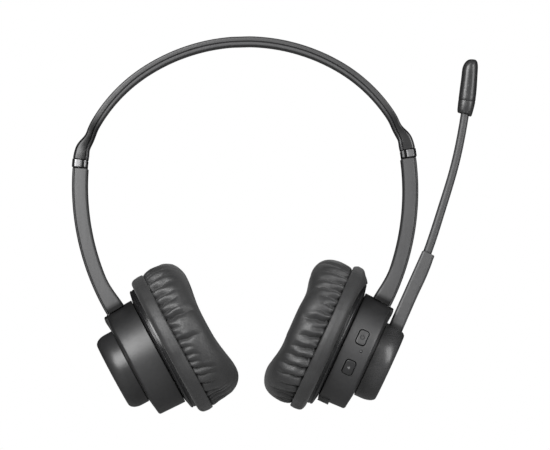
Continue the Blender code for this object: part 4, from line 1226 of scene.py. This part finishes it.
# ------------------------------------------------ boom stem
def stem_row(height):
    """The stem's outline at one height; its foot is narrower."""
    share = (height - STEM_FOOT) / (STEM_TOP - STEM_FOOT)
    belly = 0.35 + 0.3 * bell(share, 0.18, centre=0.72) - 0.2 * step(abs(share), 0.86, 1.0)
    outer, inner = -28.4 + 0.8 * share - belly, -21.95 + 0.35 * share
    half = 4.9 - 1.5 * max(0.0, share)
    if height < 17.3:
        outer, inner, half = -27.8, -22.1, 4.1
    inset = 0.5 * rim_inset((STEM_TOP - height) / 0.5)
    outer, inner, half = outer + inset, inner - inset, half - inset
    return dense(rounded([(outer, -half), (inner, -half), (inner, half), (outer, half)],
                         [1.9, 1.2, 1.2, 1.9], 7), 1.0)


def even_row(height, count=72):
    """The stem's outline with the same number of evenly spaced points at each height."""
    points = [Vector(point) for point in stem_row(height)]
    loop = points + [points[0]]
    lengths = [0.0]
    for start, end in zip(loop, loop[1:]):
        lengths.append(lengths[-1] + (end - start).length)
    row = []
    for k in range(count):
        target = lengths[-1] * k / count
        i = max(j for j in range(len(lengths)) if lengths[j] <= target + 1e-9)
        i = min(i, len(points) - 1)
        share = (target - lengths[i]) / max(1e-9, lengths[i + 1] - lengths[i])
        row.append((*loop[i].lerp(loop[i + 1], share), height))
    return row


stem_heights = [11.5, 15.0, 17.1, 17.35] + spread(18.0, STEM_TOP - 0.5, 30)
stem_heights += [STEM_TOP - v for v in (0.35, 0.2, 0.1, 0.03, 0.0)]
# the stem's foot, where it enters the hub, is darkened by painted shade
place("boom_stem_body", skin([even_row(height) for height in stem_heights]), "boom", "boom",
      "boom_stem", "grey_plastic", RIGHT, 40,
      dark=lambda points: 0.75 * (1 - step(points[:, 2], 18.8, 20.6)))


# ------------------------------------------------ stalk and microphone
def stalk_depth(height):
    angle = asin(sin(STALK_SLOPE) + (height - STEM_TOP) / STALK_R)
    bow = BOW * bell(height, BOW_LENGTH, centre=BOW_HEIGHT)
    return (-24.5 + STALK_R * (cos(STALK_SLOPE) - cos(angle)) + bow + 0.3
            - 0.15 * step(height, 112.0, 140.0))


def stalk_ring(height, half_depth, half_across, count=40, power=2.0, shift=0.0, dip=0.0):
    """Superellipse square to the stalk; dip lowers its outer side."""
    depth = stalk_depth(height)
    slope = atan(stalk_depth(height + 0.5) - stalk_depth(height - 0.5))
    ring = []
    for k in range(count):
        x, y = cos(tau * k / count), sin(tau * k / count)
        inward = half_depth * copysign(abs(x) ** (2 / power), x)
        across = half_across * copysign(abs(y) ** (2 / power), y)
        lift = -dip * max(0.0, -x) ** 3
        ring.append((depth + inward * cos(slope) + lift * sin(slope) + shift, across,
                     height - inward * sin(slope) + lift * cos(slope)))
    return ring


def mic_ring(height, half_depth, half_across, shift=0.0, power=2.5, dip=0.0):
    return stalk_ring(height, half_depth, half_across, 56, power, shift, dip)


stalk_rings = [stalk_ring(height, STALK_HALF + 0.12 * (1 - step(height, 56.0, 100.0)), 2.2,
                          power=2.6) for height in spread(50.0, MIC_START + 1.2, 100)]
# the stalk's root inside the stem is darkened by painted shade
stalk = place("boom_stalk_tube", skin(stalk_rings), "stalk", None, "boom_stalk", "grey_plastic",
              RIGHT, 50, dark=lambda points: 0.6 * (1 - step(points[:, 2], 56.6, 57.2)))
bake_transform(stalk)

# sleeve: height, half depth, half across, shift towards the head, dip
BOOT_RINGS = (
    (MIC_START - 0.3, 2.6, 2.9, 0.2, 0.9),
    (MIC_START - 0.25, 2.95, 3.2, 0.2, 0.9),
    (MIC_START - 0.05, 3.3, 3.5, 0.2, 0.9),
    (MIC_START + 0.3, 3.5, 3.7, 0.2, 0.9),
    (MIC_START + 1.4, 3.72, 3.95, 0.15, 0.0),
    (MIC_START + 3.5, 3.9, 4.05, 0.05, 0.0),
    (MIC_SEAM - 0.3, MIC_HALF, MIC_ACROSS, 0.0, 0.0),
    (MIC_SEAM - 0.06, MIC_HALF - 0.06, 4.04, 0.0, 0.0),
    (MIC_SEAM, MIC_HALF - 0.15, 3.95, 0.0, 0.0))
boot = skin([mic_ring(height, half_depth, half_across, shift, dip=dip)
             for height, half_depth, half_across, shift, dip in BOOT_RINGS])
bore = skin([stalk_ring(height, 2.1, 2.35, power=2.6)
             for height in spread(MIC_START - 3.0, MIC_START + 1.6, 3)])
place("mic_boot_sleeve", cut(boot, bore), "boot", "microphone", "mic_boot", "satin_plastic",
      RIGHT, 35)


def mic_capsule():
    """Hollow capsule with a rounded tip and a small port on its head side."""
    tip_length, taper, lean = 6.0, 0.28, 0.95
    tip_start = MIC_END - tip_length
    rings = [mic_ring(MIC_SEAM + 0.1, MIC_HALF - 0.15, 3.95),
             mic_ring(MIC_SEAM + 0.16, MIC_HALF - 0.06, 4.04),
             mic_ring(MIC_SEAM + 0.4, MIC_HALF, MIC_ACROSS)]
    for height in spread(MIC_SEAM + 1.5, tip_start, 9):
        half = MIC_HALF - taper * step(height, MIC_SEAM + 3.0, MIC_END - 5.0)
        rings.append(mic_ring(height, half, MIC_ACROSS))
    for angle in spread(0.0, QUARTER - 0.06, 26)[1:]:
        size = cos(angle) ** 0.66
        rings.append(mic_ring(tip_start + tip_length * sin(angle), (MIC_HALF - taper) * size,
                              MIC_ACROSS * size, -lean * sin(angle) ** 2,
                              power=2.5 - 0.4 * sin(angle)))
    rings.append([(stalk_depth(MIC_END) - lean, 0, MIC_END)])
    hollow = [stalk_ring(height, 2.9, 3.1)
              for height in (MIC_SEAM - 2.0, MIC_END - 10.0, MIC_END - 2.8)]
    hollow.append([(stalk_depth(MIC_END - 2.2), 0, MIC_END - 2.2)])
    middle = stalk_depth(MIC_END - 8.0)
    port = box((middle + 1.5, middle + 6.0), (-0.7, 0.7), (MIC_END - 9.6, MIC_END - 6.6))
    return cut(skin(rings), skin(hollow), port)


place("mic_shell_capsule", mic_capsule(), "mic", "microphone", "mic_shell", "gloss_plastic",
      RIGHT, 35)


# ------------------------------------------------ keys with raised symbols, and the light
def key_rib(which, points, half=0.19, lift=0.08, closed=False):
    """A raised line along (depth, height) points on the top of a key."""
    key_depth, angle, _, _, top_radius = KEYS[which]
    out, up = front_axes(angle)

    def on_key(x, y, rise):
        radius = sqrt(top_radius * top_radius - y * y) + rise
        return tuple(Vector((key_depth + x, 0, 0)) + out * radius + up * y)

    rings = []
    count = len(points)
    for i, (x, y) in enumerate(points):
        before = points[(i - 1) % count] if closed or i else points[i]
        after = points[(i + 1) % count] if closed or i < count - 1 else points[i]
        along = Vector((after[0] - before[0], after[1] - before[1])).normalized()
        side_x, side_y = -along[1] * half, along[0] * half
        rings.append([on_key(x + side_x * share, y + side_y * share, rise) for share, rise in
                      ((-1, -0.1), (-0.7, lift), (0.7, lift), (1, -0.1))])
    return skin(rings, closed)


def all_dark(points):
    return np.ones(len(points))


for which, slot in (("upper", "grey_plastic"), ("lower", "satin_plastic")):
    key = key_solid(which, 23.75, KEYS[which][-1], domed=True)
    place(which + "_key_cap", key, which + "_key", which + "_key", which + "_button", slot,
          RIGHT, 35)

ring_line = [(0.95 * sin(a), 0.95 * cos(a)) for a in spread(radians(38), radians(322), 40)]
bar_line = [(0, 0.3), (0, 0.8), (0, 1.3)]
for name, line in (("upper_key_ring", ring_line), ("upper_key_bar", bar_line)):
    place(name, key_rib("upper", line), "icon", "upper_key", None, "satin_plastic", RIGHT, 40,
          dark=all_dark)

corners = [Vector((0.62 * cos(a), 0.62 * sin(a))) for a in (0, radians(120), radians(240))]
triangle = [tuple(corners[i].lerp(corners[(i + 1) % 3], share))
            for i in range(3) for share in (0.06, 0.3, 0.7, 0.94)]
# the triangle's pale colour is a painted highlight on the raised symbol
place("lower_key_triangle", key_rib("lower", triangle, half=0.2, lift=0.12, closed=True), "symbol_highlight",
      "lower_key", None, "satin_plastic", RIGHT, 40)


def light_dome():
    x_axis = Vector((1, 0, 0))
    y_axis = front_axes(LIGHT_ANGLE)[0].cross(x_axis)
    rings = []
    # radius of the dome, and distance from the cup's axis
    for radius, distance in ((0.0, 24.2), (0.6, 24.2), (0.6, 26.55), (0.5, 26.66),
                             (0.3, 26.74), (0.0, 26.77)):
        centre = light_point(distance)
        angles = [tau * j / 32 for j in range(32)] if radius else [0.0]
        rings.append([tuple(centre + x_axis * radius * cos(a) + y_axis * radius * sin(a))
                      for a in angles])
    return skin(rings)


place("light_lens_dome", light_dome(), "lens", "right_cup", "light_pipe", "light_pipe", RIGHT, 45)

# ------------------------------------------------ finishes of the pieces kept from the part
for side in SIDES:
    FINISH[side + "_film"] = film("diaphragm_film_" + side, centre=cup_point(side, -1.5, 0))
for side in SIDES:
    FINISH[side + "_coil"] = coil("voice_coil_wire_" + side, axis=tuple(FRAME[side].col[0].xyz))
kept = {"spring_strip": "steel", "headband_cable": "rubber", "hub_clip": "steel",
        "mic_element": "nickel", "circuit_board": "board", "battery": "cell",
        "usb_socket": "nickel", "upper_switch": "nickel", "lower_switch": "nickel"}
SIDE_KEPT = {"blade": "steel", "rivet": "nickel", "arm_cable": "rubber", "arm_foot": "inner",
             "pivot_pin": "steel", "pivot_block": "inner", "screw_1": "nickel",
             "screw_2": "nickel", "driver_frame": "inner", "driver_magnet": "steel"}
for side in SIDES:
    kept.update({side + "_" + name: finish for name, finish in SIDE_KEPT.items()})
    kept.update({side + "_diaphragm": side + "_film", side + "_voice_coil": side + "_coil"})
for name, finish in kept.items():
    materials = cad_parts[name].data.materials
    materials.clear()
    materials.append(FINISH[finish])


# ------------------------------------------------ floor, light and camera (metres)
def pale_floor():
    """Grey to light, white to the camera, and clear from below."""
    mesh = bmesh.new()
    bmesh.ops.create_circle(mesh, cap_ends=True, radius=4.0, segments=96)
    data = bpy.data.meshes.new("floor")
    mesh.to_mesh(data)
    mesh.free()
    ob = bpy.data.objects.new("floor", data)
    ob.location = (0, 0, -0.32)
    SCENE.collection.objects.link(ob)
    material = bpy.data.materials.new("floor_pale")
    material.use_nodes = True
    tree = material.node_tree
    tree.nodes.clear()
    output, rays, geometry, diffuse, white, clear, seen, sided = (
        tree.nodes.new("ShaderNode" + kind) for kind in
        ("OutputMaterial", "LightPath", "NewGeometry", "BsdfDiffuse", "Emission",
         "BsdfTransparent", "MixShader", "MixShader"))
    diffuse.inputs["Color"].default_value = (0.35, 0.35, 0.35, 1)
    white.inputs["Color"].default_value = (1, 1, 1, 1)
    for source, target in ((rays.outputs["Is Camera Ray"], seen.inputs[0]),
                           (diffuse.outputs[0], seen.inputs[1]),
                           (white.outputs[0], seen.inputs[2]),
                           (geometry.outputs["Backfacing"], sided.inputs[0]),
                           (seen.outputs[0], sided.inputs[1]),
                           (clear.outputs[0], sided.inputs[2]),
                           (sided.outputs[0], output.inputs[0])):
        tree.links.new(source, target)
    data.materials.append(material)


def studio_world():
    """White to the camera; else dark behind the object and pale in front of it."""
    world = bpy.data.worlds.new("studio")
    world.use_nodes = True
    tree = world.node_tree
    rays = tree.nodes.new("ShaderNodeLightPath")
    mix = tree.nodes.new("ShaderNodeMix")
    mix.data_type = "RGBA"
    mix.inputs[7].default_value = (1.0, 1.0, 1.0, 1)
    sky = tree.nodes.new("ShaderNodeTexCoord")
    split = tree.nodes.new("ShaderNodeSeparateXYZ")
    fade = tree.nodes.new("ShaderNodeMapRange")
    fade.interpolation_type = "SMOOTHSTEP"
    for key, value in (("From Min", -0.8), ("From Max", 0.2), ("To Min", 0.5), ("To Max", 0.015)):
        fade.inputs[key].default_value = value
    for source, target in ((rays.outputs["Is Camera Ray"], mix.inputs[0]),
                           (sky.outputs["Generated"], split.inputs[0]),
                           (split.outputs[1], fade.inputs[0]),
                           (fade.outputs[0], mix.inputs[6]),
                           (mix.outputs[2], tree.nodes["Background"].inputs[0])):
        tree.links.new(source, target)
    SCENE.world = world


def softbox(name, azimuth, elevation, distance, width, height, power):
    """A rectangular light aimed at the headset; azimuth is to the right of the front."""
    azimuth, elevation = radians(azimuth), radians(elevation)
    away = Vector((sin(azimuth) * cos(elevation), -cos(azimuth) * cos(elevation),
                   sin(elevation)))
    data = bpy.data.lights.new(name, "AREA")
    data.shape = "RECTANGLE"
    data.size, data.size_y = width, height
    data.energy = power
    ob = bpy.data.objects.new(name, data)
    ob.location = Vector((0.0, 0.0, -0.085)) + away * distance
    ob.rotation_euler = away.to_track_quat("Z", "Y").to_euler()
    SCENE.collection.objects.link(ob)


def front_camera():
    eye, aim = Vector((0.0, -2.5, -0.150)), Vector((0.0135, 0.0, -0.08442))
    view_width = 0.2585    # at the aim
    roll = radians(1.75)
    ahead = (aim - eye).normalized()
    up = Vector((sin(roll), 0, cos(roll)))
    up = (up - ahead * up.dot(ahead)).normalized()
    matrix = Matrix((ahead.cross(up), up, -ahead)).transposed().to_4x4()
    matrix.translation = eye
    data = bpy.data.cameras.new("camera")
    data.sensor_width = 36.0
    data.lens = data.sensor_width * (aim - eye).length / view_width
    data.clip_end = 20.0
    camera = bpy.data.objects.new("camera", data)
    camera.matrix_world = matrix
    SCENE.collection.objects.link(camera)
    SCENE.camera = camera


pale_floor()
studio_world()
softbox("key_softbox", azimuth=-22, elevation=24, distance=0.95, width=0.52, height=0.66,
        power=12.5)
softbox("side_softbox", azimuth=46, elevation=12, distance=1.0, width=0.42, height=0.8,
        power=6.5)
front_camera()
SCENE.view_settings.view_transform = "Standard"
